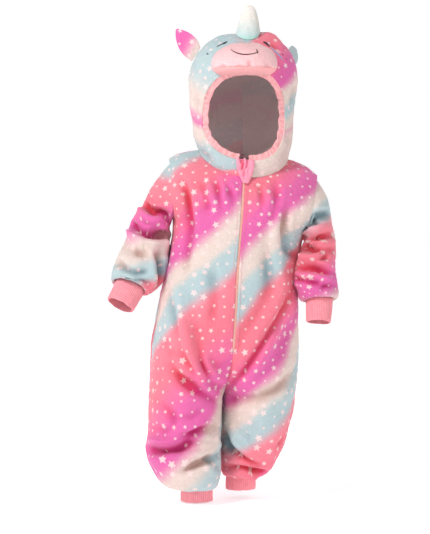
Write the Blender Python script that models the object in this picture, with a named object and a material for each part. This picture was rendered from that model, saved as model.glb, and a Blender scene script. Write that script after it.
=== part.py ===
"""A toddler's plush unicorn onesie, as it is worn: a hooded jumpsuit with rib cuffs.

The front faces -Y, +Z is up and +X is the wearer's left. The origin lies between the shoulders, at
the height where the garment rests on them. Tables are in millimetres, and the meshes in metres.
The tables give the garment upright and straight; posed() then leans and twists it as it is worn.
"""

import math
from collections import namedtuple

import bpy
import numpy as np
from mathutils import Vector
from mathutils.bvhtree import BVHTree

MM = 0.001

# Cloth, in millimetres
FLEECE = 2.6
RIB = 2.2
FACING = 1.6
SEAM_GAP = 0.3
ARM_SEAM_GAP = 0.6
LEG_GAP = 1.2
EDGE_ROUND = 1.3

# Zip, in millimetres
ZIP_HALF = 2.5
ZIP_EDGE = 2.9
ZIP_THICK = 1.4
ZIP_SUNK = 0.7
# Where the zip's sewn end begins, its lowest point, and where the fronts meet below it, as ring numbers
ZIP_STOP, ZIP_END, FRONTS_MEET = 13.0, 13.3, 13.5

# The armhole seam lies in a slanted plane: its distance from the centre at the shoulder tip, and its slant
SHOULDER_TIP_X = 131.0
SHOULDER_TIP_Z = -3.0
ARMHOLE_SLANT = 0.14
TIP_RING, UNDERARM_RING = 3, 7

FRONT, BACK = -1, 1
LEFT, RIGHT = 1, -1
SIDE_NAME = {LEFT: "left", RIGHT: "right"}

# Body rings from the neckline to the crotch. Heights at the centre front, the side and the centre back,
# the half width, the front and back depths, the squareness, how far the ring has split into two legs
# (0 is one body, 1 is two legs) and how many rows of mesh follow.
Ring = namedtuple("Ring", "front_z side_z back_z half front back square split rows")
BODY = [
    Ring(-25, 18, 20, 80, 66, 56, 2.0, 0, 1),
    Ring(-37, 15, 4, 98, 74, 66, 2.1, 0, 1),
    Ring(-50, 8, -14, 116, 80, 74, 2.25, 0, 1),
    Ring(-64, -3, -34, 131, 84, 80, 2.4, 0, 2),
    Ring(-79, -24, -54, 137, 86, 82, 2.45, 0, 3),
    Ring(-95, -50, -76, 140, 87, 84, 2.5, 0, 3),
    Ring(-112, -80, -99, 131, 88, 85, 2.5, 0, 2),
    Ring(-130, -108, -122, 116.3, 89, 86, 2.4, 0, 1),
    Ring(-152, -142, -149, 111, 91, 88, 2.35, 0, 1),
    Ring(-178, -176, -178, 111, 94, 90, 2.35, 0, 2),
    Ring(-212, -212, -212, 115, 97, 92, 2.3, 0, 2),
    Ring(-250, -250, -250, 121, 99, 94, 2.3, 0, 2),
    Ring(-288, -288, -288, 128, 100, 96, 2.25, 0.05, 2),
    Ring(-318, -318, -318, 131, 99, 97, 2.2, 0.25, 2),
    Ring(-344, -344, -344, 132, 97, 96, 2.15, 0.5, 1),
    Ring(-368, -368, -368, 132, 94, 94, 2.1, 0.72, 1),
    Ring(-390, -390, -390, 131.5, 90, 91, 2.1, 0.9, 1),
]

# Leg rings from the crotch to the hem seam, where the cloth turns under and meets the cuff
Leg = namedtuple("Leg", "z centre half front back square rows")
LEGS = {
    RIGHT: [
        Leg(-412, 66, 64.8, 87, 88, 2.1, 2),
        Leg(-445, 66.5, 65, 82, 82, 2.15, 1),
        Leg(-472, 68.5, 66, 79, 78, 2.2, 2),
        Leg(-500, 70, 67, 78, 76, 2.3, 1),
        Leg(-527, 64.5, 63.2, 77, 72, 2.35, 1),
        Leg(-548, 58, 56.5, 72, 66, 2.3, 1),
        Leg(-563, 54, 51, 65, 59, 2.2, 1),
        Leg(-570, 50, 44, 56, 51, 2.1, 1),
        Leg(-572, 45, 35, 42, 40, 2.0, 1),
        Leg(-569, 41, 28.5, 29, 29, 2.0, 0),
    ],
    LEFT: [
        Leg(-412, 66, 64.8, 87, 88, 2.1, 2),
        Leg(-445, 65.5, 64, 81, 81, 2.15, 1),
        Leg(-472, 62.5, 60.5, 77, 76, 2.2, 2),
        Leg(-500, 57.5, 55.5, 74, 72, 2.25, 1),
        Leg(-520, 52, 50, 71, 67, 2.3, 1),
        Leg(-537, 48.5, 46, 67, 62, 2.3, 1),
        Leg(-549, 46, 42, 59, 55, 2.2, 1),
        Leg(-555, 43, 36.5, 50, 47, 2.1, 1),
        Leg(-557, 40.5, 31.5, 38, 37, 2.0, 1),
        Leg(-554, 38.5, 27, 27.5, 27.5, 2.0, 0),
    ],
}
FRONT_COLUMNS = 13
BACK_COLUMNS = 9

# Rib cuffs: the half width where the cuff enters the cloth, at its fold and at its end
ANKLE_CUFF = {RIGHT: (41, 27.6, 29.0, -566, -594), LEFT: (38.5, 26.1, 27.0, -551, -580)}
WRIST_CUFF_LENGTH = {RIGHT: 40.0, LEFT: 40.0}
WRIST_CUFF_END = 0.92
CUFF_CLEARANCE = 0.9
CUFF_COLUMNS = 20

# How the wearer stands: at each height, the sideways lean, the drop from right to left per unit of
# width and the twist of the hips in degrees; and how far the right leg steps ahead of the left
Stance = namedtuple("Stance", "z lean drop twist")
STANCE = [
    Stance(-640, -43, 0.0, 10),
    Stance(-540, -41, 0.0, 10),
    Stance(-412, -38, 0.0, 10),
    Stance(-300, -33, 0.03, 9.5),
    Stance(-240, -27, 0.05, 8),
    Stance(-170, -18, 0.08, 5),
    Stance(-100, -7, 0.10, 2),
    Stance(-25, 0, 0.11, 0),
    Stance(20, 0, 0.10, 0),
    Stance(70, 0, 0.0, 0),
    Stance(300, 0, 0.0, 0),
]
STEP_TOP, STEP_FOOT, STEP = -414.0, -570.0, 14.0

# Folds of the body and legs, on the upright garment: a line across the front, back or side of the cloth
# from one point to another, its height out of the cloth (a trough is negative) and its half width.
# On the front and back the points are (x, z), and on the sides (y, z).
Fold = namedtuple("Fold", "face start end height width")
FOLDS = [
    # The long drape from each underarm to the crotch, with its trough
    Fold("front", (-104, -180), (-96, -240), 4, 20),
    Fold("front", (-96, -240), (-82, -300), 6, 19),
    Fold("front", (-82, -300), (-50, -350), 8, 18),
    Fold("front", (-50, -350), (-18, -388), 6, 16),
    Fold("front", (-104, -350), (-40, -404), -7, 18),
    Fold("front", (-40, -350), (-16, -384), -9, 16),
    Fold("front", (104, -190), (92, -240), 4, 20),
    Fold("front", (92, -240), (62, -304), 6, 19),
    Fold("front", (62, -304), (26, -364), 7, 18),
    Fold("front", (100, -290), (52, -362), -7, 18),
    # Pleats below the neck and the deep folds beside the armholes
    Fold("front", (-52, -34), (-38, -84), 3, 15),
    Fold("front", (-72, -44), (-62, -92), -4, 14),
    Fold("front", (-96, -60), (-88, -160), -6, 16),
    Fold("front", (86, -76), (84, -160), -6, 16),
    # The legs: knees, sags and the creases where the cloth piles on the cuffs
    Fold("front", (-122, -480), (-64, -492), -7, 16),
    Fold("front", (-84, -474), (-44, -460), -5, 16),
    Fold("front", (-62, -528), (-24, -504), -6, 16),
    Fold("front", (-80, -436), (-40, -440), 5, 24),
    Fold("front", (26, -470), (58, -516), -6, 16),
    Fold("front", (56, -440), (86, -478), 5, 24),
    Fold("front", (14, -524), (66, -538), -5, 13),
    # The sides and the back, which hang in the same way
    Fold("left", (-20, -250), (-6, -380), 4, 20),
    Fold("left", (30, -270), (36, -420), -4, 20),
    Fold("right", (-10, -270), (4, -370), -4, 20),
    Fold("right", (-34, -470), (30, -486), -5, 18),
    Fold("left", (-30, -460), (34, -478), -5, 18),
    Fold("back", (-60, -70), (-52, -180), -4, 20),
    Fold("back", (58, -70), (64, -170), -4, 20),
    Fold("back", (-84, -260), (-24, -366), -6, 21),
    Fold("back", (86, -250), (26, -364), -6, 21),
    Fold("back", (-58, -256), (-12, -330), 4, 20),
    Fold("back", (56, -250), (12, -326), 4, 20),
    Fold("back", (-110, -470), (-30, -486), -5, 18),
    Fold("back", (24, -462), (96, -480), -5, 18),
    Fold("back", (-96, -520), (-36, -530), -4, 16),
]

# Sleeves, as worn, from the armhole to the cuff: the outer and the inner edge seen from the front (x is
# away from the body), how far the arm reaches forward, and the half depth from front to back
Sleeve = namedtuple("Sleeve", "out_x out_z in_x in_z y deep")
SLEEVES = {
    RIGHT: [
        Sleeve(144, -6, 125.5, -100, 2, 50),
        Sleeve(157, -26, 127.5, -103.5, 2, 49),
        Sleeve(168, -46, 130, -108, 2, 48),
        Sleeve(177, -68, 131.5, -114, 1, 47),
        Sleeve(190, -86, 132, -122, -1, 46),
        Sleeve(201, -104, 132, -133, -4, 45.5),
        Sleeve(206, -124, 132, -146, -9, 45.5),
        Sleeve(212, -142, 132, -161, -15, 46),
        Sleeve(222, -161, 133, -178, -23, 46),
        Sleeve(230, -181, 138, -197, -31, 45),
        Sleeve(234, -197, 147, -214, -38, 43),
        Sleeve(231, -208, 161, -228, -43, 37),
        Sleeve(223, -201, 173, -227, -42, 28.2),
    ],
    LEFT: [
        Sleeve(138, -29, 110, -122, 2, 50),
        Sleeve(146, -43, 111.5, -125, 2, 48.5),
        Sleeve(152, -58, 113, -129, 1, 47),
        Sleeve(155, -76, 113.5, -135, -1, 45.5),
        Sleeve(157, -96, 112.5, -143, -4, 44),
        Sleeve(160, -115, 110.5, -153, -9, 42.5),
        Sleeve(164, -134, 106, -164, -15, 41),
        Sleeve(164, -152, 100.5, -177, -22, 40),
        Sleeve(162, -172, 95.5, -191, -29, 40),
        Sleeve(163, -194, 92, -207, -36, 40),
        Sleeve(167, -216, 92, -224, -41, 39),
        Sleeve(168, -239, 99, -243, -45, 33),
        Sleeve(157.5, -236, 108.5, -239.5, -44.2, 24.6),
    ],
}
SLEEVE_AXIS_END = {RIGHT: (-15, -13, -29), LEFT: (-2, -9, -35)}
SLEEVE_STEPS = [0, 1, 2, 3, 4, 4.5, 5, 5.5, 6, 6.5, 7, 7.5, 8, 8.5, 9, 10, 11, 12, 13]
ROUND_FROM = 4.0

# Folds round the sleeves: the place in the sleeve's table, the height, the half width along the arm,
# the angle from the arm's outer side that it is deepest at (90 is the front), and its reach in degrees
Crease = namedtuple("Crease", "at height width angle reach")
CREASES = {
    RIGHT: [
        Crease(4.4, -6, 12, 110, 75),
        Crease(5.2, 5, 12, 90, 80),
        Crease(6.2, -6, 12, 120, 75),
        Crease(8.6, -4, 13, 150, 60),
        Crease(6.6, -4, 14, -100, 60),
    ],
    LEFT: [
        Crease(3.6, -4, 11, 100, 80),
        Crease(5.4, -5, 11, 95, 80),
        Crease(7.4, -5, 11, 110, 80),
        Crease(9.4, -4, 11, 120, 70),
        Crease(6.4, 3, 11, 80, 80),
        Crease(8.4, 3, 11, 70, 80),
        Crease(6.6, -4, 14, -100, 60),
    ],
}
BODY_CLEARANCE = 1.4
SEAM_SPREAD = 1.3

# The hood's level sections: height, half width, front and back depth
Section = namedtuple("Section", "z half front back")
HOOD = [
    Section(-40, 72, 63, 40),
    Section(-25, 74, 66, 44),
    Section(0, 78, 71, 52),
    Section(20, 81, 75, 56),
    Section(35, 86, 78, 66),
    Section(60, 89, 79, 80),
    Section(90, 90, 78, 94),
    Section(118, 94, 79, 101),
    Section(144, 98, 82, 104),
    Section(170, 96, 84, 99),
    Section(190, 89, 80, 88),
    Section(205, 78, 71, 75),
    Section(217, 62, 57, 58),
    Section(227, 38, 36, 36),
    Section(232, 14, 14, 14),
]
HOOD_TOP = 233.0
HOOD_CENTRE = np.array([0.0, 6.0, 96.0])
HOOD_SQUARE = 2.2
HOOD_ROWS, HOOD_COLUMNS, CHIN_ROWS = 14, 15, 3
RELAXING = 30
NECK_GAP = 0.8
# Soft swellings of the hood: where, how high and how wide
Swelling = namedtuple("Swelling", "x y z height width")
SWELLINGS = [
    Swelling(46, -30, 220, 8, 24),
    Swelling(-99, 10, 140, 6, 26),
    Swelling(-84, -10, 96, -4, 18),
    Swelling(0, 100, 60, -4, 30),
    Swelling(-58, -50, 20, 3, 16),
    Swelling(58, -50, 22, 4, 18),
]

# The face opening, seen from the front
OPENING_Z, OPENING_HALF_WIDTH, OPENING_HALF_HEIGHT, OPENING_SQUARE = 82.0, 74.0, 79.0, 2.5
FACING_CLEARANCE, FACING_WIDTH, FACING_DEPTH = 0.7, 9.0, 5.5
FACING_MARGIN = 6.0
FACING_COLUMNS = 81
FACING_GATHERS = 20
FACING_GATHER_HEIGHT = 1.3

# The stuffed muzzle, which hangs over the top of the face opening
MUZZLE_Z_TOP, MUZZLE_Z_BOTTOM = 207.0, 147.0
MUZZLE_X, MUZZLE_HALF_WIDTH, MUZZLE_WIDEST = 1.0, 57.0, 0.62
MUZZLE_DEPTH = 38.0
MUZZLE_RIM = 2.0
MUZZLE_LIP_FROM = 0.74
STUFFED_CLEARANCE = 1.3
MUZZLE_ROWS, MUZZLE_LIP_ROWS, MUZZLE_COLUMNS = 9, 4, 15

# The horn and its place on the hood
HORN_X, HORN_Y = 8.0, -42.0
HORN_RADIUS, HORN_HEIGHT, HORN_TIP = 22.0, 47.0, 7.0
HORN_LEAN = (3.0, -2.0)
HORN_COLUMNS = 14

# The ears: where the base's middle lies, which way the ear points, which way its face looks, its
# length, half width and half thickness
Ear = namedtuple("Ear", "base points faces length half thick")
EARS = {
    RIGHT: Ear((-77, -8, 188), (-0.64, -0.05, 0.76), (-0.25, -0.95, -0.25), 54, 19.0, 5.0),
    LEFT: Ear((80, 24, 188), (0.36, 0.84, 0.40), (0.85, -0.45, 0.20), 52, 17.0, 5.0),
}
EAR_ROWS, EAR_COLUMNS = 8, 12

# The folded tab over the zip's top: heights, centres and half widths from its top to its foot
Tab = namedtuple("Tab", "z x half thick")
TAB = [
    Tab(6, 3, 15.0, 4.0),
    Tab(1, 3, 16.0, 5.5),
    Tab(-7, 3, 15.0, 6.0),
    Tab(-16, 3, 12.5, 6.0),
    Tab(-24, 3, 9.5, 5.5),
    Tab(-31, 3, 7.0, 4.5),
    Tab(-35, 3, 4.0, 2.5),
]
TAB_COLUMNS = 11
TAB_PLEATS = 2.5
TAB_PLEAT_HEIGHT = 1.3
TAB_CLEARANCE = 1.8

COLOURS = {
    "plush": ((0.93, 0.45, 0.68), 0.95),
    "plush_light": ((0.90, 0.86, 0.86), 0.95),
    "rib_knit": ((0.93, 0.47, 0.53), 0.9),
    "facing_knit": ((0.94, 0.52, 0.53), 0.85),
    "muzzle_plush": ((0.93, 0.70, 0.70), 0.9),
    "horn_cloth": ((0.88, 0.87, 0.84), 0.85),
    "zip": ((0.90, 0.55, 0.52), 0.6),
}


def smooth(table, column, at):
    """A column of a table read between its rows, on a smooth curve through them."""
    first = np.array([float(row[0]) for row in table])
    value = np.array([float(getattr(row, column)) for row in table])
    return smooth_between(first, value, at)


def smooth_between(knots, value, at):
    """The value at a place between knots, which run upwards, on a cubic through them."""
    slope = np.gradient(value, knots)
    at = np.clip(np.asarray(at, float), knots[0], knots[-1])
    i = np.clip(np.searchsorted(knots, at, side="right") - 1, 0, len(knots) - 2)
    span = knots[i + 1] - knots[i]
    t = (at - knots[i]) / span
    return (
        value[i] * (1 + 2 * t) * (1 - t) ** 2
        + value[i + 1] * t * t * (3 - 2 * t)
        + span * slope[i] * t * (1 - t) ** 2
        - span * slope[i + 1] * t * t * (1 - t)
    )


def step_up(low, high, at):
    """0 below low, 1 above high, and a smooth rise between them."""
    t = np.clip((np.asarray(at, float) - low) / (high - low), 0, 1)
    return t * t * (3 - 2 * t)


def unit(vector):
    return np.asarray(vector, float) / np.linalg.norm(vector)


def signed_power(value, power):
    return np.sign(value) * np.abs(value) ** power


def posed(points):
    """Upright points moved into the wearer's stance."""
    p = np.array(points, float)
    x, y, z = p[..., 0], p[..., 1], p[..., 2]
    twist = np.radians(smooth(STANCE, "twist", z))
    forward = STEP * step_up(-STEP_TOP, -STEP_FOOT, -z) * np.sign(x)
    turned_x = x * np.cos(twist) - y * np.sin(twist)
    turned_y = x * np.sin(twist) + y * np.cos(twist) + forward
    lean = smooth(STANCE, "lean", z)
    drop = smooth(STANCE, "drop", z)
    return np.stack([turned_x + lean, turned_y, z - drop * x], axis=-1)


def distance_to_line(u, z, start, end):
    """How far points (u, z) are from the line between start and end."""
    a, b = np.array(start, float), np.array(end, float)
    run = b - a
    t = np.clip(((u - a[0]) * run[0] + (z - a[1]) * run[1]) / (run @ run), 0, 1)
    return np.hypot(u - a[0] - t * run[0], z - a[1] - t * run[1])


def folded(points, centre_x, share=1.0):
    """Body points moved in or out by a share of the folds, level and away from the ring's centre."""
    x, y, z = points[..., 0], points[..., 1], points[..., 2]
    facing = {
        "front": step_up(4, 34, -y),
        "back": step_up(4, 34, y),
        "left": step_up(70, 100, x),
        "right": step_up(70, 100, -x),
    }
    height = np.zeros(x.shape)
    for fold in FOLDS:
        across = x if fold.face in ("front", "back") else y
        far = distance_to_line(across, z, fold.start, fold.end)
        height += fold.height * np.exp(-((far / fold.width) ** 2)) * facing[fold.face]
    outward = np.stack([x - centre_x, y, np.zeros(x.shape)], axis=-1)
    outward /= np.maximum(np.linalg.norm(outward, axis=-1, keepdims=True), 1e-6)
    keeps_to_its_side = step_up(2, 26, np.abs(x))
    outward[..., 0] *= keeps_to_its_side
    return points + outward * (share * height)[..., None]


def grid_normals(points, closed):
    """Unit normals of a grid of points, rows by columns, where columns may close on themselves."""
    if closed:
        along = np.roll(points, -1, axis=1) - np.roll(points, 1, axis=1)
    else:
        along = np.gradient(points, axis=1)
    down = np.gradient(points, axis=0)
    normal = np.cross(along, down)
    return normal / np.maximum(np.linalg.norm(normal, axis=-1, keepdims=True), 1e-9)


def wall(name, outer, inner, material, closed=False):
    """A cloth wall between two grids of points, with its rims, as one closed solid."""
    rows, columns = outer.shape[:2]
    points = np.concatenate([outer.reshape(-1, 3), inner.reshape(-1, 3)])
    inside = rows * columns
    faces = []
    spans = columns if closed else columns - 1
    for i in range(rows - 1):
        for j in range(spans):
            a, b = i * columns + j, i * columns + (j + 1) % columns
            c, d = b + columns, a + columns
            faces.append((a, b, c, d))
            faces.append((a + inside, d + inside, c + inside, b + inside))
    last = (rows - 1) * columns
    for j in range(spans):
        k = (j + 1) % columns
        faces.append((k, j, j + inside, k + inside))
        faces.append((last + j, last + k, last + k + inside, last + j + inside))
    if not closed:
        for i in range(rows - 1):
            a, d = i * columns, (i + 1) * columns
            faces.append((a, d, d + inside, a + inside))
            b, c = a + columns - 1, d + columns - 1
            faces.append((c, b, b + inside, c + inside))
    return solid(name, points, faces, material)


def material_named(name):
    """The named material, made once."""
    found = bpy.data.materials.get(name)
    if found:
        return found
    colour, roughness = COLOURS[name]
    made = bpy.data.materials.new(name)
    made.use_nodes = True
    shader = made.node_tree.nodes["Principled BSDF"]
    shader.inputs["Base Color"].default_value = (*colour, 1)
    shader.inputs["Roughness"].default_value = roughness
    shader.inputs["Metallic"].default_value = 0.0
    return made


def solid(name, points, faces, material):
    """One named object from points in millimetres, turned so that its faces point out."""
    mesh = bpy.data.meshes.new(name)
    mesh.from_pydata([tuple(p) for p in np.asarray(points) * MM], [], faces)
    mesh.validate()
    if signed_volume(np.asarray(points), faces) < 0:
        mesh.flip_normals()
    mesh.shade_smooth()
    mesh.materials.append(material_named(material))
    made = bpy.data.objects.new(name, mesh)
    bpy.context.scene.collection.objects.link(made)
    return made


def signed_volume(points, faces):
    """The volume that the faces close in, negative where they point inwards."""
    total = 0.0
    for face in faces:
        a = points[face[0]]
        for i in range(1, len(face) - 1):
            total += a @ np.cross(points[face[i]], points[face[i + 1]])
    return total / 6


def body_ring_at(t, side):
    """The body or leg ring at a place t along the tables, as a dict of its sizes."""
    last_body = len(BODY) - 1
    legs = LEGS[side]
    knots = np.arange(last_body + 1 + len(legs), dtype=float)

    def read(body_value, leg_value):
        values = [body_value(r) for r in BODY] + [leg_value(r) for r in legs]
        return float(smooth_between(knots, np.array(values, float), t))

    centre = read(lambda r: r.half * r.split / (1 + r.split), lambda r: r.centre)
    half = read(lambda r: r.half / (1 + r.split), lambda r: r.half)
    return {
        "front_z": read(lambda r: r.front_z, lambda r: r.z),
        "side_z": read(lambda r: r.side_z, lambda r: r.z),
        "back_z": read(lambda r: r.back_z, lambda r: r.z),
        "centre": centre,
        "half": half,
        "front": read(lambda r: r.front, lambda r: r.front),
        "back": read(lambda r: r.back, lambda r: r.back),
        "square": read(lambda r: r.square, lambda r: r.square),
    }


def ring_points(ring, face, angles):
    """Points of half a ring, on its front or back, at angles from its middle; x is away from the centre."""
    power = 2 / ring["square"]
    sine, cosine = np.sin(angles), np.maximum(np.cos(angles), 0)
    depth = ring["front"] if face == FRONT else ring["back"]
    middle_z = ring["front_z"] if face == FRONT else ring["back_z"]
    x = ring["centre"] + ring["half"] * signed_power(sine, power)
    y = face * (depth * cosine**power + SEAM_GAP / 2)
    z = ring["side_z"] + (middle_z - ring["side_z"]) * cosine**1.3
    return np.stack([x, y, z], axis=-1)


def armhole_x(z):
    return SHOULDER_TIP_X + ARMHOLE_SLANT * (z - SHOULDER_TIP_Z)


def angle_at_armhole(ring, face):
    """The angle at which a ring meets the armhole's plane, found by halving."""
    low, high = math.radians(20), math.pi / 2
    for _ in range(40):
        middle = (low + high) / 2
        x, _, z = ring_points(ring, face, np.array([middle]))[0]
        if x > armhole_x(z):
            high = middle
        else:
            low = middle
    return low


def inner_edge_x(t, face):
    """How far from the centre plane a panel's inner edge lies, while the body is still one."""
    if face == BACK:
        return SEAM_GAP / 2
    return float(np.interp(t, [0, ZIP_STOP, FRONTS_MEET], [ZIP_EDGE, ZIP_EDGE, SEAM_GAP / 2]))


def panel_places(side):
    """The places along the tables where the panels have a row of mesh."""
    rows = [r.rows for r in BODY + LEGS[side]]
    places = []
    for i, count in enumerate(rows):
        places += [i + k / count for k in range(count)] if count else [float(i)]
    return places


def panel_points(face, side):
    """A front's or back's outer points, upright and then folded, and the row's centre distances."""
    columns = FRONT_COLUMNS if face == FRONT else BACK_COLUMNS
    grid, edges = [], []
    hem = len(BODY) + len(LEGS[side]) - 1
    for t in panel_places(side):
        ring = body_ring_at(t, side)
        cut = inner_edge_x(t, face)
        reach = np.clip((cut - ring["centre"]) / ring["half"], -1, 1)
        start = math.asin(signed_power(reach, ring["square"] / 2))
        end = math.pi / 2
        in_armhole = TIP_RING < t < UNDERARM_RING
        if in_armhole:
            end = angle_at_armhole(ring, face)
        points = ring_points(ring, face, np.linspace(start, end, columns))
        one_body = t < len(BODY)
        edges.append((cut if one_body else None, in_armhole or t in (TIP_RING, UNDERARM_RING)))
        centre = np.full(columns, ring["centre"])
        flat_hem = float(step_up(0, 4, hem - t))
        grid.append(folded(points * (side, 1, 1), centre * side, flat_hem) * (side, 1, 1))
    return np.array(grid), edges


def panel(face, side):
    """One front or back, cut in one piece from the neckline to the ankle hem."""
    outer, edges = panel_points(face, side)
    normal = grid_normals(outer, closed=False) * face
    if np.mean(normal[..., 1] * face) < 0:
        normal = -normal
    inner = outer - normal * FLEECE
    for i, (cut, at_armhole) in enumerate(edges):
        if cut is not None:
            outer[i, 0, 0] = inner[i, 0, 0] = cut
        else:
            inner[i, 0, 1] = outer[i, 0, 1]
        if at_armhole:
            inner[i, -1, 0] = armhole_x(inner[i, -1, 2])
        if not at_armhole or edges[i - 1][1] is False:
            inner[i, -1, 1] = outer[i, -1, 1] = face * SEAM_GAP / 2
    name = ("front_" if face == FRONT else "back_") + SIDE_NAME[side]
    turned = (side, 1, 1)
    outer, inner = posed(outer * turned), posed(inner * turned)
    wall(name, outer, inner, "plush")
    return outer, inner


def armhole_loop(side, front_panel, back_panel):
    """The armhole's outline, from the shoulder tip down the front and up the back."""
    rows = [i for i, t in enumerate(panel_places(side)) if TIP_RING <= t <= UNDERARM_RING]
    front, back = front_panel[rows, -1], back_panel[rows, -1]
    tip, underarm = (front[0] + back[0]) / 2, (front[-1] + back[-1]) / 2
    return np.concatenate([[tip], front[1:-1], [underarm], back[-2:0:-1]])


def sleeve_rings(side, loop):
    """The sleeve's centres, outer and front half widths and how far each row has become round."""
    tip, underarm = loop[0], loop[len(loop) // 2]
    centres = [(tip + underarm) / 2]
    outward = [(tip - underarm) / 2]
    deep = [(loop[:, 1].max() - loop[:, 1].min()) / 2]
    for row in SLEEVES[side]:
        out = np.array([side * row.out_x, row.y, row.out_z])
        inside = np.array([side * row.in_x, row.y, row.in_z])
        centres.append((out + inside) / 2)
        outward.append((out - inside) / 2)
        deep.append(row.deep)
    return np.array(centres, float), np.array(outward, float), np.array(deep, float)


def read_rows(table, t):
    """Rows of numbers read at a place between them."""
    knots = np.arange(len(table), dtype=float)
    return np.array([float(smooth_between(knots, table[:, k], t)) for k in range(table.shape[1])])


def across_arm(axis, side):
    """Directions square to an arm's axis: its outer side and its front."""
    toward_front = np.array([0.0, -1.0, 0.0])
    front = unit(toward_front - axis * (axis @ toward_front))
    return side * np.cross(front, axis), front


def beside_body(points, places, side):
    """Sleeve points moved off the body: outside the armhole's plane, and clear of the side below it."""
    p = points.copy()
    spread = SEAM_SPREAD * np.minimum(np.asarray(places, float), 4)[:, None]
    for _ in range(3):
        x, y, z = p[..., 0], p[..., 1], p[..., 2]
        upright_z = z + smooth(STANCE, "drop", z) * x
        lean = smooth(STANCE, "lean", upright_z)
        twist = np.radians(smooth(STANCE, "twist", upright_z))
        away_x = side * ((x - lean) * np.cos(twist) + y * np.sin(twist))
        away_y = -(x - lean) * np.sin(twist) + y * np.cos(twist)
        ring_z = [r.side_z for r in BODY][::-1]
        half = np.interp(upright_z, ring_z, [r.half for r in BODY][::-1])
        front = np.interp(upright_z, ring_z, [r.front for r in BODY][::-1])
        back = np.interp(upright_z, ring_z, [r.back for r in BODY][::-1])
        deep = np.where(away_y < 0, front, back)
        level = np.clip(1 - np.abs(away_y / deep) ** 2.35, 0, 1) ** (1 / 2.35)
        plane = armhole_x(upright_z) + ARM_SEAM_GAP
        least = np.where(upright_z > BODY[UNDERARM_RING].side_z, plane, half * level + BODY_CLEARANCE)
        short = np.maximum(least + spread - away_x, 0)
        p[..., 0] += side * short * np.cos(twist)
    return p


def sleeve(side, loop, inner_loop):
    """A sleeve that starts as the armhole's outline and ends gathered to the cuff's width."""
    centres, outward, deep = sleeve_rings(side, loop)
    columns = len(loop)
    start_axis = unit(np.cross(outward[0], (0, -side, 0)))
    offset = loop - centres[0]
    a = offset @ outward[0] / (outward[0] @ outward[0])
    b = offset @ np.array([0.0, -1.0, 0.0]) / deep[0]
    lift = offset @ start_axis
    loop_angle, radius = np.arctan2(b, a) % (2 * math.pi), np.hypot(a, b)
    loop_angle[0] = 0.0
    even_angle = np.arange(columns) * 2 * math.pi / columns
    knots = np.arange(len(centres))
    length = np.concatenate([[0], np.cumsum(np.linalg.norm(np.diff(centres, axis=0), axis=1))])
    rings = []
    for t in SLEEVE_STEPS:
        centre, out_now = read_rows(centres, t), read_rows(outward, t)
        deep_now = float(read_rows(deep[:, None], t)[0])
        ahead = read_rows(centres, min(t + 0.5, 11.0))
        behind = read_rows(centres, min(max(t - 0.5, 0), 10.0))
        turn, roundness = float(step_up(0, 3, t)), float(step_up(0, ROUND_FROM, t))
        axis = unit(unit(ahead - behind) * turn + start_axis * (1 - turn))
        front_now = np.cross(axis, unit(out_now)) * side
        front_now = unit(front_now if front_now[1] < 0 else -front_now)
        angles = loop_angle * (1 - roundness) + even_angle * roundness
        here = float(np.interp(t, knots, length))
        swell = np.zeros(columns)
        for crease in CREASES[side]:
            far = (here - np.interp(crease.at, knots, length)) / crease.width
            off = (np.degrees(angles) - crease.angle + 180) % 360 - 180
            swell += crease.height * math.exp(-(far**2)) * np.exp(-((off / crease.reach) ** 2))
        shape = 1 + (radius - 1) * (1 - roundness)
        u = np.cos(angles) * (shape + swell / np.linalg.norm(out_now))
        v = np.sin(angles) * (shape * deep_now + swell)
        ring = centre + np.outer(u, out_now) + np.outer(v, front_now)
        rings.append(ring + np.outer(lift * (1 - roundness), start_axis))
    outer = np.array(rings)
    outer[0] = loop + start_axis * ARM_SEAM_GAP
    outer[1:] = beside_body(outer[1:], SLEEVE_STEPS[1:], side)
    normal = grid_normals(outer, closed=True)
    centre_line = outer.mean(axis=1, keepdims=True)
    if np.mean(np.sum(normal[4:12] * (outer - centre_line)[4:12], axis=-1)) < 0:
        normal = -normal
    inner = outer - normal * FLEECE
    inner[0] = inner_loop + start_axis * ARM_SEAM_GAP
    wall("sleeve_" + SIDE_NAME[side], outer, inner, "plush", closed=True)
    return centres[-1], unit(SLEEVE_AXIS_END[side]), float(deep[-1])


def cuff(name, centres, halves, directions):
    """A rib tube through rings, each with its centre, half width and two level directions."""
    angles = np.arange(CUFF_COLUMNS) * 2 * math.pi / CUFF_COLUMNS
    outer, inner = [], []
    across, front = directions
    for centre, half in zip(centres, halves):
        circle = np.outer(np.cos(angles), across) + np.outer(np.sin(angles), front)
        outer.append(centre + circle * half)
        inner.append(centre + circle * (half - RIB))
    wall(name, np.array(outer), np.array(inner), "rib_knit", closed=True)


def wrist_cuff(side, seam, axis, seam_half):
    """The cuff whose top is held inside the sleeve's gathered end."""
    half, length = seam_half - CUFF_CLEARANCE, WRIST_CUFF_LENGTH[side]
    along = [-1.5, length - EDGE_ROUND, length]
    halves = [half, half * WRIST_CUFF_END, half * WRIST_CUFF_END - 0.5]
    centres = [seam + axis * s for s in along]
    cuff("wrist_cuff_" + SIDE_NAME[side], centres, halves, across_arm(axis, side))


def ankle_cuff(side):
    """The cuff whose top is held inside the leg's gathered hem."""
    centre_x, top_half, end_half, top_z, end_z = ANKLE_CUFF[side]
    heights = [top_z, end_z + EDGE_ROUND, end_z]
    halves = [top_half, end_half, end_half - 0.5]
    centres = [posed(np.array([centre_x * side, 0.0, z])) for z in heights]
    cuff("ankle_cuff_" + SIDE_NAME[side], centres, halves, (np.array([1.0, 0, 0]), np.array([0, -1.0, 0])))


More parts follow.
